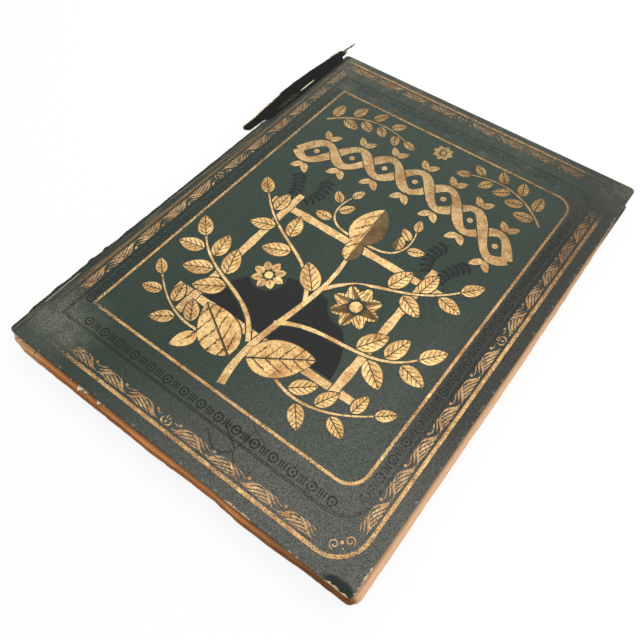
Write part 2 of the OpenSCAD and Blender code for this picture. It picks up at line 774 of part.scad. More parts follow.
// Places every leaf for the shape that follows: its length and width are passed on.
module each_leaf() {
    for (s = sprays) for (i = [0 : s[3] - 1]) {
        t = s[1] + (s[2] - s[1]) * i / (s[3] - 1);
        curve = stems[s[0]][0];
        way = slope(curve, t);
        hand = i == s[3] - 1 ? 0 : i % 2 == 0 ? 1 : -1;
        half = (stems[s[0]][1] * (1 - t) + stems[s[0]][2] * t) / 2 + outline;
        foot = bezier(curve, t) + hand * half * left_of(unit(way));
        $leaf_l = art * s[4] * (1 - leaf_taper * t);
        $leaf_w = $leaf_l * leaf_share;
        at_panel(foot, atan2(way[1], way[0]) + hand * 50) translate([art * outline, 0]) children();
    }
    for (l = large_leaves) {
        $leaf_l = art * l[2];
        $leaf_w = art * l[3];
        at_panel(l[0], l[1]) children();
    }
}

module blossoms_mask() {
    for (b = blossoms) at_panel(b[0]) circle(r = art * b[1] + outline, $fn = 48);
}
module leaves_mask() {
    each_leaf() leaf_silhouette($leaf_l, $leaf_w, outline);
}

module gilt_sticks() {
    color("#d9ad5d") block() difference() {
        union() {
            difference() {
                level_sticks();
                upright_sticks(outline);
            }
            upright_sticks();
        }
        stems_shape(outline);
        leaves_mask();
        blossoms_mask();
    }
}

module gilt_stems() {
    color("#d9ad5d") block() difference() {
        stems_shape();
        leaves_mask();
        blossoms_mask();
        twist_mask();
    }
}

module gilt_leaves() {
    color("#e3b866") block() difference() {
        each_leaf() veined_leaf($leaf_l, $leaf_w);
        blossoms_mask();
        twist_mask();
    }
}

module gilt_blossoms() {
    color("#e3b866") block() for (b = blossoms) at_panel(b[0]) {
        r = art * b[1];
        for (i = [0 : petals - 1]) rotate(i * 360 / petals) translate([r * 0.32, 0])
            veined_leaf(r * 0.66, r * 0.5);
        circle(r = r * 0.24, $fn = 24);
    }
}

// Black mound behind the middle of the picture, bare round the gilt shapes on it
mound_r = 55;
module black_ground() {
    inset = stick_w / 2 + outline;
    corner_a = [stick_x[0], stick_y[0]] + [inset, inset];
    corner_b = [stick_x[1], stick_y[1]] - [inset, inset];
    color("#1f1a1a") block(0, foil_t / 2) difference() {
        intersection() {
            at_panel([(stick_x[0] + stick_x[1]) / 2, stick_y[0]]) circle(r = art * mound_r, $fn = 96);
            translate(on_panel(corner_a)) square(art * (corner_b - corner_a));
        }
        stems_shape(outline);
        leaves_mask();
        blossoms_mask();
    }
}

// Black fronds that hang below the arch
frond_leaf = 7.4;
fronds = [
    [[32, 188], [35, 178], [46, 172], [43, 157]],
    [[54, 194], [61, 184], [64, 172], [55, 161]],
    [[169.5, 194], [162.5, 184], [159.5, 172], [168.5, 161]],
    [[191.5, 188], [188.5, 178], [177.5, 172], [180.5, 157]]
];

module black_fronds() {
    pairs = 7;
    color("#161a18") block(0, foil_t / 2) difference() {
        for (f = fronds) {
            twig(panel_curve(f), art * 1.1, art * 0.5, 8, 0);
            for (i = [1 : pairs], hand = [-1, 1]) {
                t = i / (pairs + 0.6);
                way = slope(f, t);
                foot = bezier(f, t) + hand * 0.5 * left_of(unit(way));
                at_panel(foot, atan2(way[1], way[0]) + hand * 58)
                    leaf_silhouette(art * frond_leaf * (1 - 0.35 * t), art * frond_leaf * 0.4);
            }
        }
        stems_shape(outline);
        level_sticks(outline);
        upright_sticks(outline);
        leaves_mask();
        twist_mask();
    }
}

rear_cloth();
rear_board();
rear_pastedown();
rear_free_endpaper();
for (n = [1 : sections]) section(n);
guard_strips();
sewing_tapes();
sewing_thread();
mull();
spine_paper();
for (n = [1 : turning]) leaf(n);
front_free_endpaper();
front_pastedown();
front_board();
front_cloth();
outer_gilt_rule();
gilt_scroll();
panel_gilt_rule();
black_band();
black_ground();
black_fronds();
gilt_twist();
gilt_sticks();
gilt_stems();
gilt_leaves();
gilt_blossoms();
spine_strip();
strip_lining();
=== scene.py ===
# %% [markdown]
# This scene shows an old scrapbook: a large book of thick leaves in a cloth case. Its front cover is
# blocked in gold and black, its spine cloth is torn away, and the leaves stand out past the covers.
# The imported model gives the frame, the bodies and the plain solids. Every size below is in millimetres.

# %% Load the frame
import json
import math
import random

import bmesh
import bpy
from mathutils import Matrix, Vector, noise

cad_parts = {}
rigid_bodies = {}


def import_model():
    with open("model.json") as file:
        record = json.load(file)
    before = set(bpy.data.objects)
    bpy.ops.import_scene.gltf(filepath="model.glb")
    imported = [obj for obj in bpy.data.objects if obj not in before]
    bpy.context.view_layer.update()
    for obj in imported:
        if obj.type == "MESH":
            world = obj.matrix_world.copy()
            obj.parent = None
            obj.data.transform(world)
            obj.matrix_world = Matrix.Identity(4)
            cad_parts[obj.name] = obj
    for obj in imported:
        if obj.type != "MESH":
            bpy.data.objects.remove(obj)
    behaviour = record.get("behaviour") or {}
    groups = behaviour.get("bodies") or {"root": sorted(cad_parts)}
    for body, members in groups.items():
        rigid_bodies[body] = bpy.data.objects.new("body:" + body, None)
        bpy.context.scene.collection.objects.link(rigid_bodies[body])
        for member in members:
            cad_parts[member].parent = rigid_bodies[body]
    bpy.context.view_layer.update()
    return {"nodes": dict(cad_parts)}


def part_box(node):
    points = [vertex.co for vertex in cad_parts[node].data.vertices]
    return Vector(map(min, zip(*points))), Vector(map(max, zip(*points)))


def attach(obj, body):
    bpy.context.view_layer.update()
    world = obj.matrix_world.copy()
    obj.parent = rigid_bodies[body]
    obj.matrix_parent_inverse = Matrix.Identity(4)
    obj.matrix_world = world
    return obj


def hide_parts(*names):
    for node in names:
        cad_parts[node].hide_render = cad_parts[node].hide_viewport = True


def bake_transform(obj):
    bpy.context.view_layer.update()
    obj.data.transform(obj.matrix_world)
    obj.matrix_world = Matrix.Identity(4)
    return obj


MM = 0.001
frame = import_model()
nodes = frame["nodes"]
scene = bpy.context.scene

# %% [markdown]
# Pieces made here have to meet the solids exactly, so heights and edges are read off the solids
# themselves rather than typed again.

# %% Read sizes off the solids


def box_mm(node):
    low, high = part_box(node)
    return [c / MM for c in low], [c / MM for c in high]


cover_top = box_mm("front_cloth")[1][2]
front_inner = box_mm("front_board")[0][2]
hinge_z = box_mm("leaf_1")[0][2]
leaf_t = box_mm("leaf_1")[1][2] - hinge_z
board_x = box_mm("front_board")[1][0]
board_y = box_mm("front_board")[1][1]
joint_x = box_mm("front_cloth")[0][0]
fold_x = box_mm("section_1")[0][0]
sections = [f"section_{n}" for n in range(1, 7)]
turning_leaves = [f"leaf_{n}" for n in range(1, 6)]
leaf_fore = max(box_mm(leaf)[1][0] for leaf in turning_leaves)
leaf_tail = min(box_mm(section)[0][1] for section in sections)
leaf_head = box_mm("section_1")[1][1]
print("cover top", round(cover_top, 2), "leaves hinge at", round(hinge_z, 2))

# %% [markdown]
# The photograph was taken from above the tail end, with the spine on the left. Four corners of the
# cover fix the camera's place, turn and lens. A small sideways shift stands for the picture's crop.

# %% Place the camera
camera_data = bpy.data.cameras.new("photo_camera")
camera_data.lens = 36.84
camera_data.sensor_width = 36
camera_data.shift_x = -0.047
camera = bpy.data.objects.new("photo_camera", camera_data)
scene.collection.objects.link(camera)
heading = Matrix.Rotation(math.radians(35.198), 4, "Z")
tilt = Matrix.Rotation(math.radians(33.586), 4, "X")
roll = Matrix.Rotation(math.radians(1.632), 4, "Z")
camera.matrix_world = Matrix.Translation((0.1786, -0.2490, 0.3942)) @ heading @ tilt @ roll
scene.camera = camera
print("camera", [round(c, 3) for c in camera.location], "lens", camera_data.lens)

# %% [markdown]
# Shader maths reads best as ordinary sums. A small class wraps one socket of a node, and each sum on
# it adds a Math node to the same tree. One method makes every other node: its settings go in first,
# then the values or links of its sockets. The same two classes also serve Geometry Nodes.

# %% Write node maths as sums


class Value:
    """A number that comes out of a node."""

    def __init__(self, tree, socket):
        self.tree = tree
        self.socket = socket

    def sum(self, operation, *others):
        made = self.tree.node("ShaderNodeMath", {"operation": operation},
                              dict(enumerate((self, *others))))
        return Value(self.tree, made.outputs[0])

    def __add__(self, other):
        return self.sum("ADD", other)

    def __sub__(self, other):
        return self.sum("SUBTRACT", other)

    def __mul__(self, other):
        return self.sum("MULTIPLY", other)

    def __truediv__(self, other):
        return self.sum("DIVIDE", other)

    def __pow__(self, other):
        return self.sum("POWER", other)

    def __rsub__(self, other):
        return self * -1 + other

    __radd__ = __add__
    __rmul__ = __mul__

    def least(self, other):
        return self.sum("MINIMUM", other)

    def most(self, other):
        return self.sum("MAXIMUM", other)

    def size(self):
        return self.sum("ABSOLUTE")

    def root(self):
        return self.sum("SQRT")

    def part(self):
        return self.sum("FRACT")

    def ramp(self, low, high):
        """0 below low, 1 above high, and smooth between them. High may be the lower of the two."""
        made = self.tree.node("ShaderNodeMapRange", {"interpolation_type": "SMOOTHSTEP"},
                              {"Value": self, "From Min": low, "From Max": high})
        return Value(self.tree, made.outputs["Result"])


class Tree:
    """A node tree that is filled one node at a time."""

    def __init__(self, tree):
        self.tree = tree

    def node(self, kind, settings=None, sockets=None):
        made = self.tree.nodes.new(kind)
        for key, setting in (settings or {}).items():
            setattr(made, key, setting)
        for key, value in (sockets or {}).items():
            value = value.socket if isinstance(value, Value) else value
            if isinstance(value, bpy.types.NodeSocket):
                self.tree.links.new(value, made.inputs[key])
            else:
                made.inputs[key].default_value = value
        return made


print("node maths ready")

# %% [markdown]
# Every finish here is procedural. It reads Object coordinates in millimetres, so a pattern keeps its
# real size on every piece. The helpers below are the few textures that all the finishes share.

# %% Tools for the finishes


def srgb(red, green, blue):
    """A colour as a screen shows it, 0 to 255, turned into the light that a shader works in."""
    parts = [c / 255 for c in (red, green, blue)]
    return tuple(c / 12.92 if c <= 0.04045 else ((c + 0.055) / 1.055) ** 2.4 for c in parts) + (1,)


class Finish(Tree):
    """A material with one Principled surface. It reads Object coordinates, or where cloth was laid."""

    def __init__(self, name, laid=False):
        self.material = bpy.data.materials.new(name)
        self.material.use_nodes = True
        super().__init__(self.material.node_tree)
        self.tree.nodes.clear()
        coordinates = self.node("ShaderNodeTexCoord")
        self.facing = coordinates.outputs["Normal"]
        if laid:
            self.place = self.node("ShaderNodeAttribute", {"attribute_name": "laid"}).outputs["Vector"]
        else:
            self.place = self.times(coordinates.outputs["Object"], 1 / MM)
        self.x, self.y, self.z = self.axes(self.place)

    def axes(self, vector):
        made = self.node("ShaderNodeSeparateXYZ", {}, {0: vector})
        return [Value(self, made.outputs[i]) for i in range(3)]

    def stretch(self, x, y, z):
        """The place, with each axis counted in its own number of millimetres."""
        made = self.node("ShaderNodeVectorMath", {"operation": "DIVIDE"}, {0: self.place, 1: (x, y, z)})
        return made.outputs[0]

    def noise(self, size, detail=2, rough=0.5, place=None, seed=0):
        made = self.node("ShaderNodeTexNoise", {"noise_dimensions": "4D"},
                         {"Vector": place or self.place, "W": seed * 7.3, "Scale": 1 / size,
                          "Detail": detail, "Roughness": rough})
        return Value(self, made.outputs[0])

    def cells(self, size, feature="F1"):
        made = self.node("ShaderNodeTexVoronoi", {"feature": feature},
                         {"Vector": self.place, "Scale": 1 / size})
        return Value(self, made.outputs["Distance"])

    def mix(self, share, first, second):
        made = self.node("ShaderNodeMix", {"data_type": "RGBA"}, {0: share, 6: first, 7: second})
        return made.outputs[2]

    def times(self, colour, factor):
        """A colour or a vector, scaled."""
        made = self.node("ShaderNodeVectorMath", {"operation": "SCALE"}, {0: colour, "Scale": factor})
        return made.outputs[0]

    def spot(self, x, y, radius, soft=0.5):
        """1 at a place on the cover and 0 past the radius."""
        away = ((self.x - x) ** 2 + (self.y - y) ** 2).root()
        return away.ramp(radius, radius * soft)

    def done(self, colour, roughness, gloss, relief=None, depth=0, **others):
        """Closes the finish. The relief is a height from 0 to 1, over a depth in millimetres."""
        sockets = {"Base Color": colour, "Roughness": roughness, "Specular IOR Level": gloss, **others}
        if relief:
            bump = self.node("ShaderNodeBump", {}, {"Height": relief, "Distance": depth * MM})
            sockets["Normal"] = bump.outputs[0]
        surface = self.node("ShaderNodeBsdfPrincipled", {}, sockets)
        self.node("ShaderNodeOutputMaterial", {}, {"Surface": surface.outputs[0]})
        return self.material


print("finish tools ready")

# %% [markdown]
# Studio light is two wide lamps, one over the fore edge and one past the head, and an even world. The
# world shows white to the camera and in reflections, so that the gold mirrors a bright room while the
# light on the book stays plain.

# %% Light the set
lighting = bpy.data.worlds.new("studio")
scene.world = lighting
lighting.use_nodes = True
lighting.node_tree.nodes.clear()
sky = Tree(lighting.node_tree)
path = sky.node("ShaderNodeLightPath")
seen = Value(sky, path.outputs["Is Camera Ray"])
seen = seen.most(Value(sky, path.outputs["Is Glossy Ray"]))
seen = seen.most(Value(sky, path.outputs["Is Transmission Ray"]))
even = sky.node("ShaderNodeBackground", {}, {"Color": (1, 1, 1, 1), "Strength": 0.62})
white = sky.node("ShaderNodeBackground", {}, {"Color": (1, 1, 1, 1), "Strength": 1.0})
blend = sky.node("ShaderNodeMixShader", {}, {0: seen, 1: even.outputs[0], 2: white.outputs[0]})
sky.node("ShaderNodeOutputWorld", {}, {"Surface": blend.outputs[0]})


def lamp(name, place, size, power):
    """A square lamp that faces the middle of the book."""
    data = bpy.data.lights.new(name, "AREA")
    data.size = size
    data.energy = power
    made = bpy.data.objects.new(name, data)
    scene.collection.objects.link(made)
    turn = Vector(place).to_track_quat("Z", "Y").to_matrix().to_4x4()
    made.matrix_world = Matrix.Translation(place) @ turn


lamp("key_lamp", place=(0.55, 0.25, 1.0), size=0.9, power=7.0)
lamp("head_lamp", place=(-0.5, 0.7, 1.0), size=0.8, power=4.0)
scene.view_settings.view_transform = "Standard"

# %% [markdown]
# The floor is a plain pale sheet that keeps the book's soft shadow. Part of what the camera sees of
# it is its own white, so the background is as clean as in the photograph.

# %% Lay the floor
floor_finish = Finish("pale_floor")
paint = floor_finish.node("ShaderNodeBsdfDiffuse", {}, {"Color": (0.93, 0.93, 0.93, 1)})
glow = floor_finish.node("ShaderNodeEmission", {}, {"Color": (1, 1, 1, 1), "Strength": 1.0})
rays = floor_finish.node("ShaderNodeLightPath")
shown = Value(floor_finish, rays.outputs["Is Camera Ray"]) * 0.88
both = floor_finish.node("ShaderNodeMixShader", {}, {0: shown, 1: paint.outputs[0], 2: glow.outputs[0]})
floor_finish.node("ShaderNodeOutputMaterial", {}, {"Surface": both.outputs[0]})


def add_piece(name, points, faces, material=None):
    """A mesh object at the origin from points in millimetres."""
    mesh = bpy.data.meshes.new(name)
    mesh.from_pydata([tuple(c * MM for c in p) for p in points], [], faces)
    mesh.validate()
    mesh.update()
    if material:
        mesh.materials.append(material)
    made = bpy.data.objects.new(name, mesh)
    scene.collection.objects.link(made)
    return made


reach = 4000
floor_z = -0.1
floor_corners = [(x * reach, y * reach, floor_z) for x, y in ((-1, -1), (1, -1), (1, 1), (-1, 1))]
floor = add_piece("floor", floor_corners, [(0, 1, 2, 3)], floor_finish.material)
print("floor", floor.dimensions[:2])

# %% [markdown]
# Book cloth is a woven cotton, filled, dyed green and rolled with a fine pebble grain. Its wear could be
# painted as a picture. Here it is worked out from places on the cover, so it stays sharp in a close view
# and each kind of wear is a function of its own. The first ones say where things are: the panel inside
# its gilt rule, the places that hands and shelves have rubbed, and how far off the edge is.

# %% Places on the cover
panel_x = (-112.0, 109.5)
panel_y = (-141.0, 144.5)
panel_r = 14.0


def inside_panel(f):
    """1 inside the panel rule and 0 outside it. Only the two fore corners are round."""
    past_spine = 40
    half = [(panel_x[1] - panel_x[0] + past_spine) / 2, (panel_y[1] - panel_y[0]) / 2]
    middle = [panel_x[1] - half[0], (panel_y[1] + panel_y[0]) / 2]
    out_x = (f.x - middle[0]).size() - (half[0] - panel_r)
    out_y = (f.y - middle[1]).size() - (half[1] - panel_r)
    corner = (out_x.most(0) ** 2 + out_y.most(0) ** 2).root()
    away = corner + out_x.most(out_y).least(0) - panel_r
    return away.ramp(0.4, -0.4) * f.x.ramp(panel_x[0] - 0.4, panel_x[0] + 0.4)


def rubbed_places(f):
    """Where handling has worn the cover: both corners at the spine, and the fore corner at the head."""
    spine_tail = f.spot(-118, -166, 40, 0.2)
    spine_head = f.spot(-136, 184, 20, 0.2)
    fore_head = f.spot(138, 184, 34, 0.2)
    return spine_tail.most(spine_head).most(fore_head * 0.6)


def from_edge(f):
    """The distance to the nearest edge of the board."""
    return (board_x - f.x.size()).least(board_y - f.y.size())


print("panel", panel_x, panel_y)

# %% [markdown]
# A painted sheen greys the borders: most where the cover is nearest to the camera, less at the head, and
# hardly at all along the fore edge. The panel keeps its deeper green. A few soft ramps across the cover do
# this, because they blend into each other with no seam.

# %% The tone and painted sheen of the borders


def border_tone(f, border):
    """The front cover's tone at each place with its painted sheen, and how strong that sheen is."""
    # A painted sheen, greyest towards the fore corner of the tail.
    grey = (f.x - f.y * 0.75).ramp(40, 210)
    border = f.mix(grey * 0.95, border, srgb(87, 87, 81))
    # Along the fore edge the painted sheen gives way to a darker neutral tone.
    beside_fore = f.x.ramp(88, 122) * f.y.ramp(-150, -60)
    border = f.mix(beside_fore * 0.8, border, srgb(42, 43, 37))
    # A weaker painted sheen at the head.
    at_head = f.y.ramp(70, 175) * (0.2 - f.x.ramp(50, 120) * 0.15)
    border = f.mix(at_head, border, srgb(84, 86, 74))
    border = f.mix(f.spot(-120, -172, 40, 0.1) * 0.3, border, srgb(112, 112, 98))
    return f.mix(inside_panel(f) * 0.3, border, srgb(34, 58, 46)), grey


print("borders greyed most at the fore corner of the tail")

# %% [markdown]
# The edges have suffered most. The grain is rubbed pale at the corners, the cloth is chipped down to
# the board, most of all along the tail, one corner is stained dark, and the tail border is cracked in
# two places. Each function starts from a place, roughens it with noise and cuts it off at a limit,
# because real damage is ragged. It gives how much of one kind of wear there is, from 0 to 1.

# %% Rubs, chips and cracks


def rubbed_cloth(f):
    """How far the grain is rubbed off."""
    rub = rubbed_places(f) * f.noise(12, 3, 0.6).ramp(0.3, 0.6) * f.noise(0.9, 2, 0.6).ramp(0.42, 0.62)
    rub = rub * f.y.ramp(9 - board_y, 15 - board_y) * 0.8
    along_edge = from_edge(f).ramp(2.2, 0.2) * f.noise(3.4, 4, 0.7).ramp(0.52, 0.66)
    return rub.most(along_edge * 0.8)


def chipped_cloth(f):
    """How far the cloth is gone at the edge: most at the fore corner of the tail, and in two nicks."""
    nicks = f.spot(62, -190, 13).most(f.spot(103, -190, 9)) * 1.3
    kept = from_edge(f) + f.noise(3.4, 4, 0.75) * 7 + f.noise(60, 2) * 4
    kept = kept - f.spot(140, -188, 26) * 1.3 - nicks
    return kept.ramp(4.2, 3.9) * f.z.ramp(cover_top - 2.4, cover_top - 1.9)


def stained_corner(f):
    """The dark stain at the fore corner of the tail."""
    stain = ((f.x - 134) / 11) ** 2 + ((f.y + 189.5) / 5) ** 2 + (f.noise(4, 3) - 0.5) * 0.8
    return stain.ramp(1.4, 0.5)


def cracked_cloth(f):
    """Fine cracks in two places on the tail border."""
    cracks = f.cells(13, "DISTANCE_TO_EDGE").ramp(0.05, 0.015)
    return f.spot(34, -163, 26).most(f.spot(-60, -171, 9)) * cracks


print("wear ready: rubbed, chipped, stained and cracked")

# %% [markdown]
# Along the spine the covering was torn away. It left streaks of dirt and glue on the edge of the cover, one
# slit, and the bare brown edge of the board. Beside the strip that still hangs on, the cloth is made darker
# along the spine.
# The streaks are a noise that is stretched along the spine, because the tear runs that way.

# %% The cloth beside the torn spine


def spine_edge_look(f, colour, top_face):
    """The cloth's colour by the torn spine: streaks, a darker stretch beside the strip, a slit and the bare
    board.
    """
    inward = f.x + board_x
    streak = f.noise(1, 3, 0.6, f.stretch(0.9, 34, 5))
    by_spine = inward.ramp(7.2, 4.4) * top_face
    colour = f.mix(by_spine * streak.ramp(0.52, 0.4) * 0.8, colour, srgb(28, 30, 26))
    colour = f.mix(by_spine * streak.ramp(0.54, 0.62) * 0.75, colour, srgb(126, 108, 80))
    # Beside the strip the cloth is made darker along the spine edge.
    by_strip = f.y.ramp(58, 80) * (inward + (f.noise(6, 3, 0.6) - 0.5) * 3).ramp(5.8, 4.2)
    colour = f.mix(by_strip * 0.88 * top_face, colour, srgb(25, 27, 21))
    slit = (inward - 1.9 + (f.noise(9) - 0.5) * 2).size().ramp(0.5, 0.2) * (f.y + 146).size().ramp(17, 13)
    colour = f.mix(slit * 0.8, colour, srgb(176, 172, 148))
    layers = f.noise(1, 3, 0.6, f.stretch(20, 20, 0.5))
    bare_board = f.mix(layers, srgb(92, 70, 44), srgb(142, 116, 78))
    return f.mix(inward.ramp(0.35, 0.15) * (1 - top_face), colour, bare_board)


print("spine edge of the cover at x =", round(-board_x, 1))

# %% [markdown]
# All of it together is a colour, a roughness and a height, and not yet a finish, because the blocking
# wears through to this same cloth and needs it too.

# %% The look of the green cloth


def cloth_look(f, blocked=True):
    """The colour, roughness and height of the green cloth."""
    patches = f.noise(55, 3)
    top_face = f.z.ramp(cover_top - 0.9, cover_top - 0.3)
    tone = f.mix(patches, srgb(35, 49, 41), srgb(46, 57, 47))
    smear = f.noise(17, 3, 0.6).ramp(0.5, 0.64) * f.y.ramp(138, 150) * f.x.ramp(110, 60)
    tone = f.mix(smear * 0.3, tone, srgb(104, 100, 88))
    grey = 0
    if blocked:
        tone, grey = border_tone(f, tone)
    grain = f.noise(0.72, 1.5, 0.5).ramp(0.3, 0.7)
    # The grain and the pale specks show more where the painted sheen is: painted highlights on the grain.
    colour = f.times(tone, 1 + (grain - 0.5) * (0.75 + grey * 0.5))
    speck = f.noise(0.7, 2, 0.6).ramp(0.66, 0.74)
    colour = f.mix(speck * (0.25 + grey * 0.5), colour, srgb(150, 150, 134))
    rub = rubbed_cloth(f)
    colour = f.mix(rub * 0.6 * top_face, colour, srgb(158, 154, 130))
    colour = f.mix(stained_corner(f) * 0.93, colour, srgb(6, 11, 8))
    colour = f.mix(chipped_cloth(f), colour, srgb(206, 188, 150))
    cracked = cracked_cloth(f)
    colour = f.mix(cracked * 0.75, colour, srgb(24, 26, 22))
    colour = spine_edge_look(f, colour, top_face)
    roughness = 0.6 - patches * 0.1 + rub * 0.2
    height = grain * 0.6 + (1 - f.cells(1.2)) * 0.4 - cracked
    return colour, roughness, height


def cloth_finish(name, blocked):
    f = Finish(name)
    colour, roughness, height = cloth_look(f, blocked)
    return f.done(colour, roughness, gloss=0.24, relief=height, depth=0.16)


front_cloth_finish = cloth_finish("blocked_green_cloth", True)
rear_cloth_finish = cloth_finish("plain_green_cloth", False)
print("cloth finishes", front_cloth_finish.name, rear_cloth_finish.name)

# %% [markdown]
# Blocking is metal leaf pressed on by a hot die. It has worn off in specks, and in longer gaps where the
# cover rubs a shelf. Towards the head it is darkened, a painted shade for its dimmer reflection there. One
# surface does both: where the leaf is gone, its colour, roughness and metal all turn back to cloth.

# %% The finish of the gold


def corner_curls(f):
    """1 at the curls in the border's round corner at the tail, which are well kept."""
    return f.spot(118.5, -166.5, 12, 0.6)


def gold_look(f, bright):
    """The colour of the metal, with dull patches, brown specks and a painted shade towards the head, and
    how far it is towards the head.
    """
    far = (f.y - f.x * 0.35).ramp(-60, 170)
    dull = f.noise(9, 3, 0.6).ramp(0.42, 0.68)
    gold = f.mix(dull * 0.6, bright, srgb(158, 110, 62))
    gold = f.mix(f.noise(17, 3, 0.6).ramp(0.5, 0.66) * 0.45, gold, srgb(150, 92, 52))
    gold = f.mix(f.noise(5, 3, 0.6, seed=3).ramp(0.54, 0.7) * 0.6, gold, srgb(246, 214, 150))
    gold = f.mix(f.noise(1.5, 3, 0.7).ramp(0.5, 0.68) * 0.8, gold, srgb(88, 62, 36))
    spine_rule = (f.x + board_x + (f.noise(20, 3) - 0.5) * 2.4).ramp(9.7, 8.9)
    gold = f.mix(spine_rule * 0.85, gold, srgb(98, 74, 48))
    fore_head = f.x.ramp(50, 120) * f.y.ramp(-20, 110)
    gold = f.mix(fore_head * 0.5, gold, srgb(134, 92, 60))
    brighter = corner_curls(f) * 0.35
    duller = f.x.ramp(96, 122) * 0.12 + inside_panel(f) * f.y.ramp(30, 120) * 0.16
    gold = f.times(gold, 1.0 + brighter - duller)
    # Towards the head the gold is darkened: a painted shade for the dimmer reflection there.
    return f.times(gold, 1.0 - far * 0.44), far


def worn_gold(f, gold, far, gone_above):
    """Gold where it is kept and cloth where the specks rise above the limit, as one surface."""
    cloth, cloth_rough, height = cloth_look(f)
    specks = f.noise(1.1, 4, 0.72) + f.noise(24, 2) * 0.22
    corners = f.spot(-132, -176, 58, 0.1) * 0.2 + f.spot(142, 176, 50, 0.1) * 0.34 - corner_curls(f) * 0.12
    kept = 1 - (specks + far * 0.03 + corners + rubbed_places(f) * 0.05).ramp(gone_above, gone_above + 0.04)
    colour = f.mix(kept, cloth, gold)
    roughness = 0.42 * kept + cloth_rough * (1 - kept)
    return f.done(colour, roughness, gloss=0.3, relief=height, depth=0.09, Metallic=kept * 0.9)


def gold_finish(name, bright, gone_above):
    f = Finish(name)
    gold, far = gold_look(f, bright)
    return worn_gold(f, gold, far, gone_above)


def paint_nodes(finish, *names):
    """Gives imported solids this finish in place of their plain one."""
    for name in names:
        nodes[name].data.materials.clear()
        nodes[name].data.materials.append(finish)


picture_gold = gold_finish("gold_picture", srgb(205, 172, 121), gone_above=0.72)
rule_gold = gold_finish("gold_rule", srgb(206, 166, 112), gone_above=0.65)
scroll_gold = gold_finish("gold_scroll", srgb(183, 150, 111), gone_above=0.65)
paint_nodes(picture_gold, "gilt_twist", "gilt_sticks", "gilt_stems")
paint_nodes(rule_gold, "outer_gilt_rule", "panel_gilt_rule")
paint_nodes(scroll_gold, "gilt_scroll")
print("gold finishes", picture_gold.name, rule_gold.name, scroll_gold.name)

# %% [markdown]
# The engraved leaves and petals of the blocking carry veins, and one half of each is hatched darker.
# Lines this fine could be cut into the mesh, but it would grow very heavy, so the finish draws them.
# Every half blade is a loose part of the solid. Its base and tip are its two farthest points, so each
# of its corners gets its share of the way along the rib and away from it, stored for the finish.

# %% Engrave the gilt leaves


def loose_parts(mesh):
    """The corners of each separate part of a mesh, by a search from face to face."""
    faces_at = [[] for _ in mesh.vertices]
    for face in mesh.polygons:
        for corner in face.vertices:
            faces_at[corner].append(face.index)
    unseen = set(range(len(mesh.polygons)))
    while unseen:
        open_faces = [unseen.pop()]
        part = list(open_faces)
        while open_faces:
            corners = mesh.polygons[open_faces.pop()].vertices
            near = {k for corner in corners for k in faces_at[corner]} & unseen
            unseen -= near
            part += near
            open_faces += near
        yield sorted({corner for k in part for corner in mesh.polygons[k].vertices})


def merged_copy(node, name):
    """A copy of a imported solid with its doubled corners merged."""
    work = bmesh.new()
    work.from_mesh(nodes[node].data)
    bmesh.ops.remove_doubles(work, verts=work.verts, dist=1e-6)
    mesh = bpy.data.meshes.new(name)
    work.to_mesh(mesh)
    work.free()
    made = bpy.data.objects.new(name, mesh)
    scene.collection.objects.link(made)
    return made


def engrave(node, name, finish):
    """A copy of a blocked piece whose corners know their place on their own half blade."""
    made = merged_copy(node, name)
    mesh = made.data
    values = [(0.5, 0.5, 0.5, 1.0)] * len(mesh.vertices)
    for part in loose_parts(mesh):
        flat = {k: mesh.vertices[k].co.xy for k in part}
        base = max(part, key=lambda k: (flat[k] - flat[part[0]]).length)
        tip = max(part, key=lambda k: (flat[k] - flat[base]).length)
        rib = flat[tip] - flat[base]
        long = rib.length
        along = {k: (flat[k] - flat[base]).dot(rib) / long ** 2 for k in part}
        away = {k: rib.cross(flat[k] - flat[base]) / long for k in part}
        widest = max(away.values(), key=abs)
        turned = along[max(part, key=lambda k: abs(away[k]))] > 0.5
        hand = 1.0 if (widest > 0) != turned else 0.0
        for k in part:
            u = 1 - along[k] if turned else along[k]
            values[k] = (u, away[k] / widest, hand, long / MM / 100)
    layer = mesh.attributes.new("engraving", "FLOAT_COLOR", "POINT")
    layer.data.foreach_set("color", [c for value in values for c in value])
    mesh.materials.append(finish)
    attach(made, "front_cover")
    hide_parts(node)
    return made


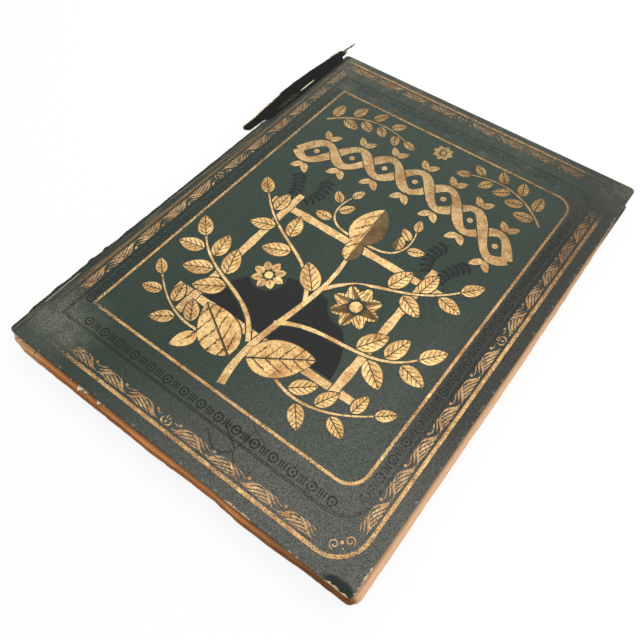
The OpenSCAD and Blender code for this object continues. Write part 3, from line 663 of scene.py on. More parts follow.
def engraved_finish(name, bright, gone_above):
    """Gold with a rib, side veins, hatching on one half and a brown rim, all fainter on small blades."""
    f = Finish(name)
    read = f.node("ShaderNodeAttribute", {"attribute_name": "engraving"})
    u, v, hand = f.axes(read.outputs["Vector"])
    length = Value(f, read.outputs["Alpha"]) * 100
    gold, far = gold_look(f, bright)
    wavy = (f.noise(2.4, 2) - 0.5) * 0.5
    side_veins = 5.2
    to_vein = ((u * side_veins - v * 1.6 + wavy).part() - 0.5).size() * (length / side_veins)
    side_vein = (to_vein / (length * 0.014 + 0.3)).ramp(1.1, 0.45) * (v + wavy * 0.6).ramp(0.85, 0.55)
    hatch = ((u * length * 0.55 + v * 3.2 + wavy).part() - 0.5).size().ramp(0.36, 0.14)
    hatch = hatch * (hand * 0.4 + 0.3) * f.noise(4, 2, seed=5).ramp(0.4, 0.62)
    half_width = length * 0.29
    rib = (v * half_width).ramp(0.5, 0.1)
    ink = side_vein.most(rib) * length.ramp(7, 14)
    ink = ink.most(hatch * length.ramp(9, 22) * 0.5)
    skew = u.most(0.001) ** 0.8
    outline = (skew * (1 - skew) * 4).most(0.001) ** 0.75
    rim = ((outline - v) * half_width + (f.noise(1.6, 2) - 0.5) * 0.9).ramp(0.75, 0.3)
    gold = f.mix(rim * 0.55 * length.ramp(8, 16), gold, srgb(124, 78, 40))
    gold = f.mix(hand * 0.22 * length.ramp(5, 16), gold, srgb(142, 100, 56))
    gold = f.mix(ink * 0.85, gold, srgb(46, 36, 24))
    return worn_gold(f, gold, far, gone_above)


leaf_gold = engraved_finish("gold_engraved", srgb(222, 186, 126), gone_above=0.715)
blades = [engrave("gilt_leaves", "gilt_leaves_engraved", leaf_gold),
          engrave("gilt_blossoms", "gilt_blossoms_engraved", leaf_gold)]
print("engraved:", {o.name: len(o.data.polygons) for o in blades})

# %% [markdown]
# The black is a pigment foil, a little glossier than the cloth. It has faded most at the head and at
# the fore end of the tail. Like the gold it is one surface with the cloth under it, but no metal.

# %% The finish of the black blocking


def black_finish(name, gone_above):
    f = Finish(name)
    cloth, cloth_rough, height = cloth_look(f)
    at_tail = (f.x - f.y * 0.5).ramp(60, 190) * 0.14
    at_head = f.y.ramp(85, 150) * 0.17 + f.spot(142, 172, 70, 0.1) * 0.1
    faded = at_tail + at_head + f.x.ramp(88, 100) * 0.03
    specks = f.noise(1.2, 4, 0.7) + f.noise(30, 2) * 0.2 + faded
    kept = specks.ramp(gone_above + 0.08, gone_above)
    black = f.mix(f.noise(12, 3), srgb(9, 10, 9), srgb(22, 21, 20))
    colour = f.mix(kept * 0.96, cloth, black)
    roughness = 0.55 * kept + cloth_rough * (1 - kept)
    return f.done(colour, roughness, gloss=0.22, relief=height, depth=0.08)


band_black = black_finish("black_band_foil", gone_above=0.74)
ground_black = black_finish("black_ground_foil", gone_above=0.8)
paint_nodes(band_black, "black_band")
paint_nodes(ground_black, "black_ground", "black_fronds")
print("black finishes", band_black.name, ground_black.name)

# %% [markdown]
# Torn cloth and paper are all made the same way. A sheet is a grid of points with a thickness, and its
# edges wander by a smooth noise at two sizes, so that no tear looks drawn with a ruler. Each point also
# keeps the place where it was laid, and the finishes read their patterns from that place.

# %% Tools for torn sheets


def clamp(share):
    return min(max(share, 0), 1)


def wander(place, seed, size):
    """A smooth random number from -1 to 1 that changes over the given length."""
    return noise.noise(Vector((place / size, seed * 7.7, seed * 3.1)))


def torn(place, seed, wide=9.0, fine=1.3):
    return 0.6 * wander(place, seed, wide) + 0.4 * wander(place, seed + 50, fine)


def grid_faces(first, rows, wide):
    """Faces of a closed sheet: a grid of points from the first number on, then as many points behind."""
    behind = rows * wide
    faces = []
    for i in range(rows - 1):
        for j in range(wide - 1):
            a = first + i * wide + j
            faces.append((a, a + 1, a + wide + 1, a + wide))
            faces.append((behind + a + wide, behind + a + wide + 1, behind + a + 1, behind + a))
    rim = [*range(wide), *range(2 * wide - 1, rows * wide, wide)]
    rim += [*range(rows * wide - 2, (rows - 1) * wide - 1, -1), *range((rows - 2) * wide, 0, -wide)]
    rim = [first + k for k in rim]
    faces += [(b, a, behind + a, behind + b) for a, b in zip(rim, rim[1:] + rim[:1])]
    return faces


def turn_outwards(piece):
    work = bmesh.new()
    work.from_mesh(piece.data)
    bmesh.ops.recalc_face_normals(work, faces=work.faces)
    work.to_mesh(piece.data)
    work.free()


def torn_piece(name, points, faces, finish):
    """A piece whose corners keep the place where they were laid, in millimetres."""
    made = add_piece(name, points, faces, finish)
    turn_outwards(made)
    laid = made.data.attributes.new("laid", "FLOAT_VECTOR", "POINT")
    laid.data.foreach_set("vector", [c / MM for corner in made.data.vertices for c in corner.co])
    return made


def sheet(name, rows, thickness, finish):
    """A closed sheet from rows of points on its upper side."""
    front = [p for row in rows for p in row]
    back = [(x, y, z - thickness) for x, y, z in front]
    return torn_piece(name, front + back, grid_faces(0, len(rows), len(rows[0])), finish)


def flat_area(rows):
    """The area of a grid of points, in square metres."""
    area = 0
    for low, high in zip(rows, rows[1:]):
        for j in range(len(low) - 1):
            a, b, c, d = (Vector(p) for p in (low[j], low[j + 1], high[j + 1], high[j]))
            area += ((b - a).cross(c - a).length + (c - a).cross(d - a).length) / 2
    return area * MM * MM


print("a torn edge wanders by", [round(torn(y, 3), 2) for y in range(0, 30, 6)])

# %% [markdown]
# Cloth is drawn tight round each board, so the case has soft edges, rounder where a corner has been
# knocked. At the spine the cloth is torn off and the board's brown edge is bare. A bevelled box would
# be the same all round, so the cloth is made of rings instead, whose points can each be worn. First
# comes one ring, at any distance inside the edge.

# %% Go once round a board
cloth_out = 0.4
corner_r = 3.4
short_steps, long_steps = 71, 94


def knocked(x, y):
    """1 at a corner of the board and 0 away from it."""
    return math.exp(-((board_x - abs(x)) ** 2 + (board_y - abs(y)) ** 2) / 120)


def on_arc(centre, r, degrees):
    angle = math.radians(degrees)
    return centre[0] + r * math.cos(angle), centre[1] + r * math.sin(angle)


def board_ring(inset):
    """Points round the board at a distance inside its edge, with worn round corners."""
    half_x, half_y = board_x + cloth_out - inset, board_y + cloth_out - inset
    spine = -(board_x + 0.3 - min(inset, 0.8) - max(inset - 1.0, 0))
    r = max(corner_r - inset * 0.4, 0.6)
    corners = ((half_x, half_y, 0), (spine, half_y, 90), (spine, -half_y, 180), (half_x, -half_y, 270))
    arcs = []
    for x, y, start in corners:
        centre = (x - math.copysign(r, x), y - math.copysign(r, y))
        arcs.append([on_arc(centre, r, start + a) for a in range(0, 91, 15)])
    ring = []
    for arc, after, count in zip(arcs, arcs[1:] + arcs[:1], (short_steps, long_steps) * 2):
        (x, y), (next_x, next_y) = arc[-1], after[0]
        ring += arc
        ring += [(x + (next_x - x) * i / count, y + (next_y - y) * i / count) for i in range(1, count)]
    return ring


print("points in one ring:", len(board_ring(0)))

# %% [markdown]
# The case cloth is one solid made of such rings. They run from the turned-in edge on the inside, round
# the edge and on to the outer face. The first ring is sunk into the board under the pasted paper.

# %% Wrap the boards in cloth
turn_in = 15.0
rounding = 1.0


def case_cloth(name, node, body, inner_z, outer_z, finish):
    """The cloth on one board. Outer_z is the height of the face that shows."""
    way = 1 if outer_z > inner_z else -1
    profile = [(turn_in, inner_z + way * 0.42), (turn_in, inner_z), (0.45, inner_z)]
    profile += [(0.1, inner_z + way * 0.25), (0.0, inner_z + way * 0.7), (0.0, outer_z - way * rounding)]
    profile += [(rounding * (1 - math.cos(a)), outer_z - way * rounding * (1 - math.sin(a)))
                for a in (math.radians(30), math.radians(60), math.radians(90))]
    profile += [(3.2, outer_z)]
    points, faces = [], []
    for inset, z in profile:
        for x, y in board_ring(inset):
            worn = 0.22 * wander(x + y, 60, 5) * clamp(1 - inset / 2)
            drop = way * 0.15 * knocked(x, y) * clamp(1 - inset / 3) if z != inner_z else 0
            points.append((x + math.copysign(worn, x), y + math.copysign(worn, y), z - drop))
    count = len(points) // len(profile)
    for ring in range(0, len(points) - count, count):
        for k in range(count):
            after = (k + 1) % count
            faces.append((ring + k, ring + after, ring + count + after, ring + count + k))
    faces += [tuple(range(count)), tuple(range(len(points) - count, len(points)))]
    made = add_piece(name, points, faces, finish)
    turn_outwards(made)
    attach(made, body)
    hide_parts(node)
    return made


front_in = box_mm("front_cloth")[0][2]
rear_in = box_mm("rear_cloth")[1][2]
cases = [
    case_cloth("front_case_cloth", "front_cloth", "front_cover", front_in, cover_top, front_cloth_finish),
    case_cloth("rear_case_cloth", "rear_cloth", "rear_cover", rear_in, 0.0, rear_cloth_finish),
]
print("case cloth:", {case.name: len(case.data.polygons) for case in cases})

# %% [markdown]
# The leaves are thick soft paper, toned brown where air and hands reached them: most at the tail, less at
# the fore edge. Part of the tail edge's brown is painted shade, and part of the fore edge's paleness
# painted light. Along the fore edge a painted shadow also lies on the leaves close under the cover's edge.
# Old paper also grows small brown spots. The edge of each leaf shows its layers, so its colour is drawn out
# along the leaf and changes quickly through the thickness.

# %% The finish of the leaves


def tail_tone(f, tail):
    """The brown of the tail edge: paler and cracked near the spine, darker towards the fore edge."""
    tail = f.mix(f.x.ramp(-106, -116), tail, srgb(226, 176, 120))
    crack = (f.x + 116 + (f.noise(3) - 0.5) * 4).size().ramp(0.7, 0.3)
    tail = f.mix(crack * 0.8, tail, srgb(92, 56, 32))
    return f.mix(f.x.ramp(20, 142) * 0.6, tail, srgb(126, 82, 48))


def edge_tone(f, layers, fore, tail):
    """The edge of a leaf, with dark and pale layers, and a painted shadow under the cover on the upper
    leaves at the fore edge.
    """
    at_tail = f.y.ramp(leaf_tail + 9, leaf_tail + 4)
    # Painted shadow: the upper leaves are darker at the fore edge, under the cover.
    fore = f.mix(f.z.ramp(9, 17) * 0.55, fore, srgb(168, 122, 90))
    edge = f.mix(at_tail, fore, tail)
    edge = f.mix(layers.ramp(0.5, 0.62) * (0.45 + at_tail * 0.4), edge, srgb(96, 54, 28))
    return f.mix(layers.ramp(0.44, 0.3) * (0.5 - at_tail * 0.2), edge, srgb(240, 208, 164))


def foxing(f, apart):
    """Small brown spots, about as far apart as given."""
    return (f.cells(apart) + f.noise(3, 3) * 0.24).ramp(0.2, 0.13)


def page_tone(f, face, fore, tail, spots):
    """The flat of a leaf: toned from its edges inwards, brown at the tail, and near the fore edge darkened
    by a painted shadow by the cover that brightens outwards.
    """
    inward = (leaf_fore - f.x).least(f.y - leaf_tail).least(leaf_head - f.y)
    toned = (inward + f.noise(22, 4, 0.6) * 26).ramp(34, 8)
    page = f.mix(toned * 0.6, face, f.mix(0.5, fore, tail))
    page = f.mix(f.noise(48, 3).ramp(0.4, 0.7) * 0.25, page, fore)
    # Painted shadow by the cover's fore edge, brightening as the leaf stands further out.
    outward = (f.x + f.noise(9)).ramp(board_x + 0.6, leaf_fore)
    past_cover = f.mix(outward, srgb(184, 140, 106), srgb(238, 196, 158))
    page = f.mix(f.x.ramp(leaf_fore - 7, leaf_fore - 4) * 0.9, page, past_cover)
    margin = (f.y - leaf_tail + (f.noise(7, 3, 0.6) - 0.5) * 5).ramp(7.5, 5.0)
    steps = f.noise(1, 4, 0.7, f.stretch(34, 0.8, 34))
    brown = f.mix(steps.ramp(0.48, 0.62) * 0.6, f.times(tail, 0.98), srgb(116, 66, 34))
    page = f.mix(margin * 0.95, page, brown)
    return f.mix(foxing(f, 15) * spots, page, srgb(150, 98, 50))


def paper_finish(name, face, fore, tail, spots):
    f = Finish(name)
    layers = f.noise(1, 4, 0.65, f.stretch(26, 26, 0.42))
    fibre = f.noise(1.1, 4, 0.7)
    flat = f.axes(f.facing)[2].size().ramp(0.4, 0.8)
    tail = tail_tone(f, tail)
    colour = f.mix(flat, edge_tone(f, layers, fore, tail), page_tone(f, face, fore, tail, spots))
    return f.done(colour, roughness=0.82, gloss=0.15, relief=layers * 0.6 + fibre * 0.4, depth=0.1)


# The tail colour is partly painted shade, and the fore colour partly painted light.
leaf_paper = paper_finish("leaf_paper", face=srgb(222, 196, 150), fore=srgb(238, 200, 160),
                          tail=srgb(202, 132, 78), spots=0.5)
end_paper = paper_finish("end_paper", face=srgb(232, 214, 174), fore=srgb(240, 206, 168),
                         tail=srgb(206, 138, 82), spots=0.7)
print("paper finishes", leaf_paper.name, end_paper.name)

# %% [markdown]
# A leaf is one thin slab. Its edge has a point every few millimetres, so that it can be made wavy
# and worn, while its two faces stay single flat faces. The corner at the tail of the spine is worn off.

# %% Cut one leaf


def leaf_edge(spine_x):
    """Points round one leaf, anticlockwise from the head of the spine. The tail edge is worn in waves."""
    step = 2.6
    tail, fore = leaf_tail + 0.6, leaf_fore - 0.3
    corners = [(spine_x, leaf_head), (spine_x, tail + 7), (spine_x + 3, tail + 2.2), (spine_x + 7, tail),
               (-4, tail), (22, tail + 0.9), (44, tail + 1.3), (62, tail + 0.2), (86, tail + 0.5),
               (108, tail + 2.0), (fore - 8, tail + 2.8), (fore - 3, tail + 3.6), (fore - 0.8, tail + 6),
               (fore, tail + 9), (fore - 0.5, 0), (fore - 2.2, 110), (fore - 5, leaf_head)]
    points = []
    for (x, y), (next_x, next_y) in zip(corners, corners[1:] + corners[:1]):
        at_spine = x == next_x == spine_x
        count = 1 if at_spine else max(1, round(math.dist((x, y), (next_x, next_y)) / step))
        points += [(x + (next_x - x) * k / count, y + (next_y - y) * k / count) for k in range(count)]
    return points


def slab(name, edge, low, high):
    """A flat plate with that outline between two heights."""
    count = len(edge)
    points = [(x, y, low) for x, y in edge] + [(x, y, high) for x, y in edge]
    faces = [tuple(range(count - 1, -1, -1)), tuple(range(count, 2 * count))]
    faces += [(k, (k + 1) % count, count + (k + 1) % count, count + k) for k in range(count)]
    return add_piece(name, points, faces)


print("one leaf has", len(leaf_edge(fold_x)), "points round its edge")

# %% [markdown]
# A block of leaves is the same leaf again and again, each one worn a little differently. That is a
# job for Geometry Nodes: a line of points carries the copies, each copy keeps its number, and a noise
# that changes with that number moves the edges. The spine edge stays put, because it is sewn.

# %% Stack the leaves with Geometry Nodes


class Recipe(Tree):
    """A Geometry Nodes tree with named inputs for its sizes."""

    def __init__(self, name, sizes):
        super().__init__(bpy.data.node_groups.new(name, "GeometryNodeTree"))
        side = self.tree.interface
        side.new_socket("Geometry", in_out="INPUT", socket_type="NodeSocketGeometry")
        side.new_socket("Geometry", in_out="OUTPUT", socket_type="NodeSocketGeometry")
        self.keys = {}
        for label, kind in sizes.items():
            made = side.new_socket(label, in_out="INPUT", socket_type="NodeSocket" + kind)
            self.keys[label] = made.identifier
        self.given = self.node("NodeGroupInput").outputs

    def size(self, label):
        return Value(self, self.given[label])

    def vector(self, x=0.0, y=0.0, z=0.0):
        return self.node("ShaderNodeCombineXYZ", {}, {"X": x, "Y": y, "Z": z}).outputs[0]

    def end(self, geometry):
        """Copies become real mesh and take the finish, because the export drops bare copies."""
        real = self.node("GeometryNodeRealizeInstances", {}, {"Geometry": geometry})
        painted = self.node("GeometryNodeSetMaterial", {},
                            {"Geometry": real.outputs[0], "Material": self.given["Finish"]})
        self.node("NodeGroupOutput", {}, {"Geometry": painted.outputs[0]})


def grow(name, seed_piece, recipe, **sizes):
    """Runs the recipe on a seed piece and keeps the result as a plain mesh."""
    modifier = seed_piece.modifiers.new("recipe", "NODES")
    modifier.node_group = recipe.tree
    for label, size in sizes.items():
        modifier[recipe.keys[label.replace("_", " ")]] = size
    bpy.context.view_layer.update()
    shown = seed_piece.evaluated_get(bpy.context.evaluated_depsgraph_get())
    mesh = bpy.data.meshes.new_from_object(shown)
    seed_piece.modifiers.remove(modifier)
    bpy.data.objects.remove(seed_piece)
    made = bpy.data.objects.new(name, mesh)
    mesh.name = name
    scene.collection.objects.link(made)
    return made


leaves = Recipe("worn_leaves", {"Count": "Int", "Pitch": "Float", "Wave": "Float", "Fray": "Float",
                                "Shift": "Float", "Seed": "Int", "Finish": "Material"})
line = leaves.node("GeometryNodeMeshLine", {"mode": "OFFSET"},
                   {"Count": leaves.size("Count"), "Offset": leaves.vector(z=leaves.size("Pitch"))})
copies = leaves.node("GeometryNodeInstanceOnPoints", {},
                     {"Points": line.outputs[0], "Instance": leaves.given["Geometry"]})
number = leaves.node("GeometryNodeInputIndex")
tagged = leaves.node("GeometryNodeStoreNamedAttribute", {"data_type": "INT", "domain": "INSTANCE"},
                     {"Geometry": copies.outputs[0], "Name": "leaf_number", "Value": number.outputs[0]})
real = leaves.node("GeometryNodeRealizeInstances", {}, {"Geometry": tagged.outputs[0]})
which = leaves.node("GeometryNodeInputNamedAttribute", {"data_type": "INT"}, {"Name": "leaf_number"})
place = leaves.node("GeometryNodeInputPosition").outputs[0]
own = Value(leaves, which.outputs[0]) * 5.1 + leaves.size("Seed")
loose = Value(leaves, leaves.node("ShaderNodeSeparateXYZ", {}, {0: place}).outputs[0])
loose = loose.ramp((fold_x + 6) * MM, (fold_x + 30) * MM)
slip = leaves.node("FunctionNodeRandomValue", {"data_type": "FLOAT_VECTOR"},
                   {0: (-1, 0, 0), 1: (0, 0.5, 0), "ID": which.outputs[0], "Seed": leaves.given["Seed"]})
noise_reach = 2.6
moves = []
for axis in (0, 1):
    total = Value(leaves, leaves.node("ShaderNodeSeparateXYZ", {}, {0: slip.outputs[0]}).outputs[axis])
    total = total * leaves.size("Shift")
    for label, length in (("Wave", 34), ("Fray", 5)):
        worn = leaves.node("ShaderNodeTexNoise", {"noise_dimensions": "4D"},
                           {"Vector": place, "W": own + 31 * axis, "Scale": 1 / (length * MM), "Detail": 2})
        total = total + (Value(leaves, worn.outputs[0]) - 0.5) * noise_reach * leaves.size(label)
    moves.append(total * loose)
moved = leaves.node("GeometryNodeSetPosition", {},
                    {"Geometry": real.outputs[0], "Offset": leaves.vector(*moves)})
leaves.end(moved.outputs[0])
print("recipe inputs", list(leaves.keys))

# %% [markdown]
# Six sections of four leaves are sewn, and five single leaves and an endpaper turn with the cover. The
# rear endpaper stays with the sections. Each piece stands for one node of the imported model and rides
# on the same body as that node.

# %% Make every leaf


def leaf_pieces(node, body, count, finish, spine_x, thickness, seed):
    low, high = box_mm(node)
    seed_leaf = slab("seed_leaf", leaf_edge(spine_x), low[2], low[2] + thickness)
    made = grow(node + "_leaves", seed_leaf, leaves, Count=count, Pitch=leaf_t * MM, Wave=0.8 * MM,
                Fray=0.35 * MM, Shift=1.4 * MM, Seed=seed, Finish=finish)
    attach(made, body)
    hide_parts(node)


fold_r = 0.8
section_leaf_t = leaf_t * 0.86
turning_leaf_t = leaf_t * 0.9
endpaper_t = 0.27
leaves_in_section = 4
turn_x = box_mm("leaf_1")[0][0]
for n, node in enumerate(sections, 1):
    leaf_pieces(node, "text_block", leaves_in_section, leaf_paper, fold_x + fold_r, section_leaf_t, 10 * n)
for n, node in enumerate(turning_leaves, 1):
    leaf_pieces(node, node, 1, leaf_paper, turn_x, turning_leaf_t, 100 + 7 * n)
leaf_pieces("front_free_endpaper", "front_free_endpaper", 1, end_paper, turn_x, endpaper_t, 171)
leaf_pieces("rear_free_endpaper", "text_block", 1, end_paper, fold_x, endpaper_t, 181)
print("leaves:", sum("_leaves" in o.name for o in scene.objects), "pieces")

# %% [markdown]
# Each section is two folded sheets, one inside the other. Their rounded folds show at the bare spine,
# where a fold is a strip swept along the book from a small arc.

# %% Fold the sections


def fold_strip(outer_r, thickness, middle_z, low_y, high_y):
    """Points and faces of half a round fold, open towards the leaves."""
    turns = 12
    centre = fold_x + fold_r
    lap_x = centre + 3
    inner_r = outer_r - thickness
    degrees = [90 + 180 * k / turns for k in range(turns + 1)]
    outside = [on_arc((centre, middle_z), outer_r, a) for a in degrees]
    inside = [on_arc((centre, middle_z), inner_r, a) for a in reversed(degrees)]
    profile = [(lap_x, middle_z + outer_r), *outside, (lap_x, middle_z - outer_r),
               (lap_x, middle_z - inner_r), *inside, (lap_x, middle_z + inner_r)]
    count = len(profile)
    points = [(x, y, z) for y in (low_y, high_y) for x, z in profile]
    faces = [(k, (k + 1) % count, count + (k + 1) % count, count + k) for k in range(count)]
    half = count // 2
    for k in range(half - 1):
        a, b, c, d = k, k + 1, count - 2 - k, count - 1 - k
        faces += [(a, b, c, d), (count + d, count + c, count + b, count + a)]
    return points, faces


fold_tail = leaf_tail + 10.2
points, faces = [], []
for section in sections:
    low, high = box_mm(section)
    for outer_r in (fold_r, fold_r - leaf_t):
        part, sides = fold_strip(outer_r, section_leaf_t, (low[2] + high[2]) / 2, fold_tail, leaf_head)
        faces += [tuple(k + len(points) for k in side) for side in sides]
        points += part
folds = add_piece("section_folds", points, faces, leaf_paper)
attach(folds, "text_block")
print("folds:", len(folds.data.polygons), "faces")

# %% [markdown]
# At the head a strip of the spine's cloth still hangs on to the front cover. It starts on the cover,
# goes over the joint and sags towards its free edge. A cloth simulation could drape it, but old glued
# cloth is stiff and the strip is short, so its sag is one curve. A grid of points lays out both the
# cloth and the paper that lined it, from an inner and an outer edge.

# %% Lay out the strip
strip_low, strip_high = box_mm("spine_strip")
strip_tail, strip_long = strip_low[1], strip_high[1] - strip_low[1]
strip_wide = joint_x - box_mm("strip_lining")[0][0]
strip_rise = 0.12
strip_sag = 1.7
strip_ripple = 0.22


def strip_grid(inner, outer, across, drop, steps=170, start=0.0, stop=1.0):
    """Rows of points along the strip. Inner and outer give the distance past the joint at a share t."""
    rows = []
    for i in range(steps + 1):
        t = start + (stop - start) * i / steps
        y = t * strip_long
        near, far = inner(t), outer(t)
        row = []
        for j in range(across + 1):
            x = near + (far - near) * (j / across) ** 0.85
            out = clamp(x / strip_wide)
            sag = strip_sag * out ** 1.8 * (0.75 + 0.35 * wander(y, 4, 30))
            ripple = strip_ripple * wander(y, 8 + j * 0.02, 6) * out
            on_cover = 0.3 * clamp(1 - x / 0.8)
            z = cover_top + strip_rise + on_cover - drop - sag + ripple
            row.append((joint_x - x, strip_tail + y, z))
        rows.append(row)
    return rows


print("strip", round(strip_long, 1), "mm long and", round(strip_wide, 1), "mm past the joint")

# %% [markdown]
# The strip's lower end is round and its tip is torn to threads. Its outer edge steps out a little past
# a third of the way up, then narrows towards the head. The share t is 0 at the lower end and 1 at the tip.

# %% Tear its edges
end_middle = 5.6
tip_start = 0.915


def round_end(t):
    """0 at the strip's lower end, rising to 1 along a quarter circle."""
    return math.sqrt(clamp(1 - (1 - min(t / 0.026, 1)) ** 2))


def strip_inner(t):
    """Held on the cover between its two ends, and free of it past them."""
    y = t * strip_long
    held = clamp((t - 0.11) / 0.07) * clamp((0.875 - t) / 0.03)
    free = 0.8 + 1.2 * clamp((0.1 - t) / 0.1) + 2.6 * clamp((t - 0.9) / 0.05)
    near = free * (1 - held) + held * (-3.4 - 0.9 * torn(y, 2, 14, 1.1))
    return end_middle + (near - end_middle) * round_end(t)


def strip_outer(t):
    """Narrow at the lower end, wide past the notch, and a frayed bit past the head edge."""
    y = t * strip_long
    wide = 9.2 + 3.0 * clamp((t - 0.1) / 0.26) + 0.8 * torn(y, 12, 12, 1.2)
    wide += 1.5 * clamp((t - 0.365) / 0.01) - 1.7 * clamp((t - 0.5) / 0.15)
    wide -= 3.0 * clamp((t - 0.65) / 0.18) + 1.3 * clamp((t - 0.83) / 0.08)
    bit = strip_inner(t) + 2.6 * clamp((1 - t) / 0.06) + 0.3
    past = clamp((t - tip_start) / 0.012)
    return end_middle + (wide * (1 - past) + bit * past - end_middle) * round_end(t)


def lining_outer(t):
    """The paper shows past the cloth low down and near the tip, and stays under it between them."""
    y = t * strip_long
    show = 1.7 if t < 0.38 else -0.8
    show = 1.9 if t > 0.83 else show
    return max(1.8, min(strip_outer(t) + show + 0.8 * torn(y, 30, 7, 1.0), strip_wide - 0.1))


print("widths", [round(strip_outer(k / 5) - strip_inner(k / 5), 1) for k in range(6)])

# %% [markdown]
# The strip's cloth is coloured nearly black, darker than the cover's green, partly as a painted shade
# because the strip slopes away from the light. It shows its weave. In one place on the joint it is rubbed,
# in another it is split, and its tip has frayed to grey. The paper is cream, and greyer towards the head.

# %% Finishes of the strip
f = Finish("spine_cloth_dark", laid=True)
weave = (f.noise(0.5, 1, 0.5, f.stretch(1, 0.35, 1)) + f.noise(0.5, 1, 0.5, f.stretch(0.35, 1, 1))) * 0.5
frayed = f.noise(2.2, 4, 0.7).ramp(0.62, 0.74)
# Near-black base colour, partly a painted shade of the strip's sloping cloth.
colour = f.mix(f.noise(14, 3), srgb(12, 14, 12), srgb(26, 28, 23))
colour = f.mix(frayed * 0.3, colour, srgb(96, 94, 78))
up = f.y - strip_tail
rubbed = (f.x - joint_x).size().ramp(3.2, 0.6) * ((up - strip_long * 0.34) / 16).size().ramp(1, 0.4)
colour = f.mix(rubbed * f.noise(1.1, 2, 0.6).ramp(0.5, 0.6) * 0.7, colour, srgb(116, 118, 94))
grey = up.ramp(strip_long * (tip_start - 0.01), strip_long * (tip_start + 0.02))
colour = f.mix(grey * 0.8, colour, f.mix(f.noise(1.2, 2), srgb(66, 58, 56), srgb(170, 158, 154)))
split = ((f.x - joint_x + 0.1) ** 2 / 0.5 + ((up - strip_long * 0.52) / 10) ** 2).ramp(1.1, 0.9)
colour = f.mix(split, colour, srgb(214, 208, 178))
spine_cloth = f.done(colour, roughness=0.8, gloss=0.1, relief=weave, depth=0.3)

f = Finish("lining_paper_torn", laid=True)
colour = f.mix(f.noise(6, 4, 0.6).ramp(0.35, 0.65), srgb(238, 226, 194), srgb(214, 188, 146))
colour = f.mix(f.y.ramp(130, 185) * 0.85, colour, srgb(196, 178, 168))
lining_paper = f.done(colour, roughness=0.85, gloss=0.12, relief=f.noise(0.7, 4, 0.7), depth=0.12)
print("strip finishes", spine_cloth.name, lining_paper.name)

# %% [markdown]
# The cloth is one piece, which stays where it is laid and is put on no body. The paper lies under the cloth
# and rides on the strip's body alone.

# %% Hang the strip
cloth_rows = strip_grid(strip_inner, strip_outer, across=11, drop=0.0)
strip = sheet("spine_strip_torn", cloth_rows, 0.36, spine_cloth)
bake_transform(strip)
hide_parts("spine_strip")
lining_rows = strip_grid(lambda t: 0.8, lining_outer, across=6, drop=0.55, steps=150,
                         start=0.015, stop=0.93)
lining = sheet("strip_lining_torn", lining_rows, 0.14, lining_paper)
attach(lining, "spine_strip")
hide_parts("strip_lining")
print("strip sheet", round(flat_area(cloth_rows) * 1e4, 1), "square centimetres")

# %% [markdown]
# Where cloth tears, its yarns come loose. Each thread is a thin five-sided tube along a short wavering
# path. A curve with a thickness would do it too, but something so thin needs only a few points of mesh.
# A handful leave the strip's tip, and odd ones stand out along its outer edge. Those beside the cover
# are kept a little below its face.

# %% Loose threads


def thread(points, faces, path, radius):
    """Adds a tube along the path, closed at both ends, to a list of points and faces."""
    sides = 5
    first = len(points)
    for k, here in enumerate(path):
        ahead = path[min(k + 1, len(path) - 1)]
        behind = path[max(k - 1, 0)]
        way = (ahead - behind).normalized()
        side = way.cross(Vector((0.2, 0.1, 1))).normalized()
        up = way.cross(side)
        thin = radius * (1 - 0.6 * k / (len(path) - 1))
        for n in range(sides):
            a = 2 * math.pi * n / sides
            points.append(tuple(here + (side * math.cos(a) + up * math.sin(a)) * thin))
    for k in range(len(path) - 1):
        for n in range(sides):
            a, b = first + k * sides + n, first + k * sides + (n + 1) % sides
            faces.append((a, b, b + sides, a + sides))
    faces.append(tuple(range(first + sides - 1, first - 1, -1)))
    faces.append(tuple(range(len(points) - sides, len(points))))


def loose_path(start, way, length, chance, bend, steps=9):
    """A path that leaves a point in one direction and wavers more and more."""
    here, way = Vector(start), Vector(way).normalized()
    path = [here.copy()]
    for _ in range(steps):
        turn = Vector([chance.uniform(-bend, bend) for _ in range(3)])
        way = (way + turn * 0.5).normalized()
        here = here + way * length / steps
        path.append(here.copy())
    return path


tip_threads, edge_threads = 7, 34
chance = random.Random(11)
points, faces = [], []
tip = Vector(cloth_rows[-4][5])
for _ in range(tip_threads):
    path = loose_path(tip + Vector((chance.uniform(-0.7, 0.5), -1.5, -0.15)), (0.12, 1, 0.2),
                      chance.uniform(4, 10), chance, 0.55)
    thread(points, faces, path, 0.2)
for _ in range(edge_threads):
    row = cloth_rows[chance.randrange(6, 160)]
    path = loose_path(Vector(row[-1]) + Vector((0.4, 0, -0.2)), (-1, chance.uniform(-0.8, 0.8), 0.1),
                      chance.uniform(0.8, 2.2), chance, 0.8, 5)
    thread(points, faces, path, 0.11)
f = Finish("loose_yarn")
colour = f.mix(f.noise(2, 2), srgb(70, 70, 60), srgb(24, 25, 22))
yarn = f.done(colour, roughness=0.85, gloss=0.1)
limit_y = strip_high[1] + 9.5
limit_x = joint_x - strip_wide - 1.5
top_z = cover_top - 0.15
low_z = cover_top - 1.9
points = [(max(x, limit_x), min(y, limit_y), z if y > board_y + 1.5 else min(max(z, low_z), top_z))
          for x, y, z in points]
yarns = add_piece("loose_threads", points, faces, yarn)
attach(yarns, "spine_strip")
strip_area = round(flat_area(cloth_rows), 6)
print("threads:", len(faces), "faces")

# %% [markdown]
# Along the rest of the spine edge the torn cloth ends in a ragged lip, a millimetre or two wide, with
# two longer tongues. It lies on the board's edge, droops a little past it and turns with the cover.

# %% The ragged lip of cloth
lip_from, lip_to = -174.0, strip_tail + 24


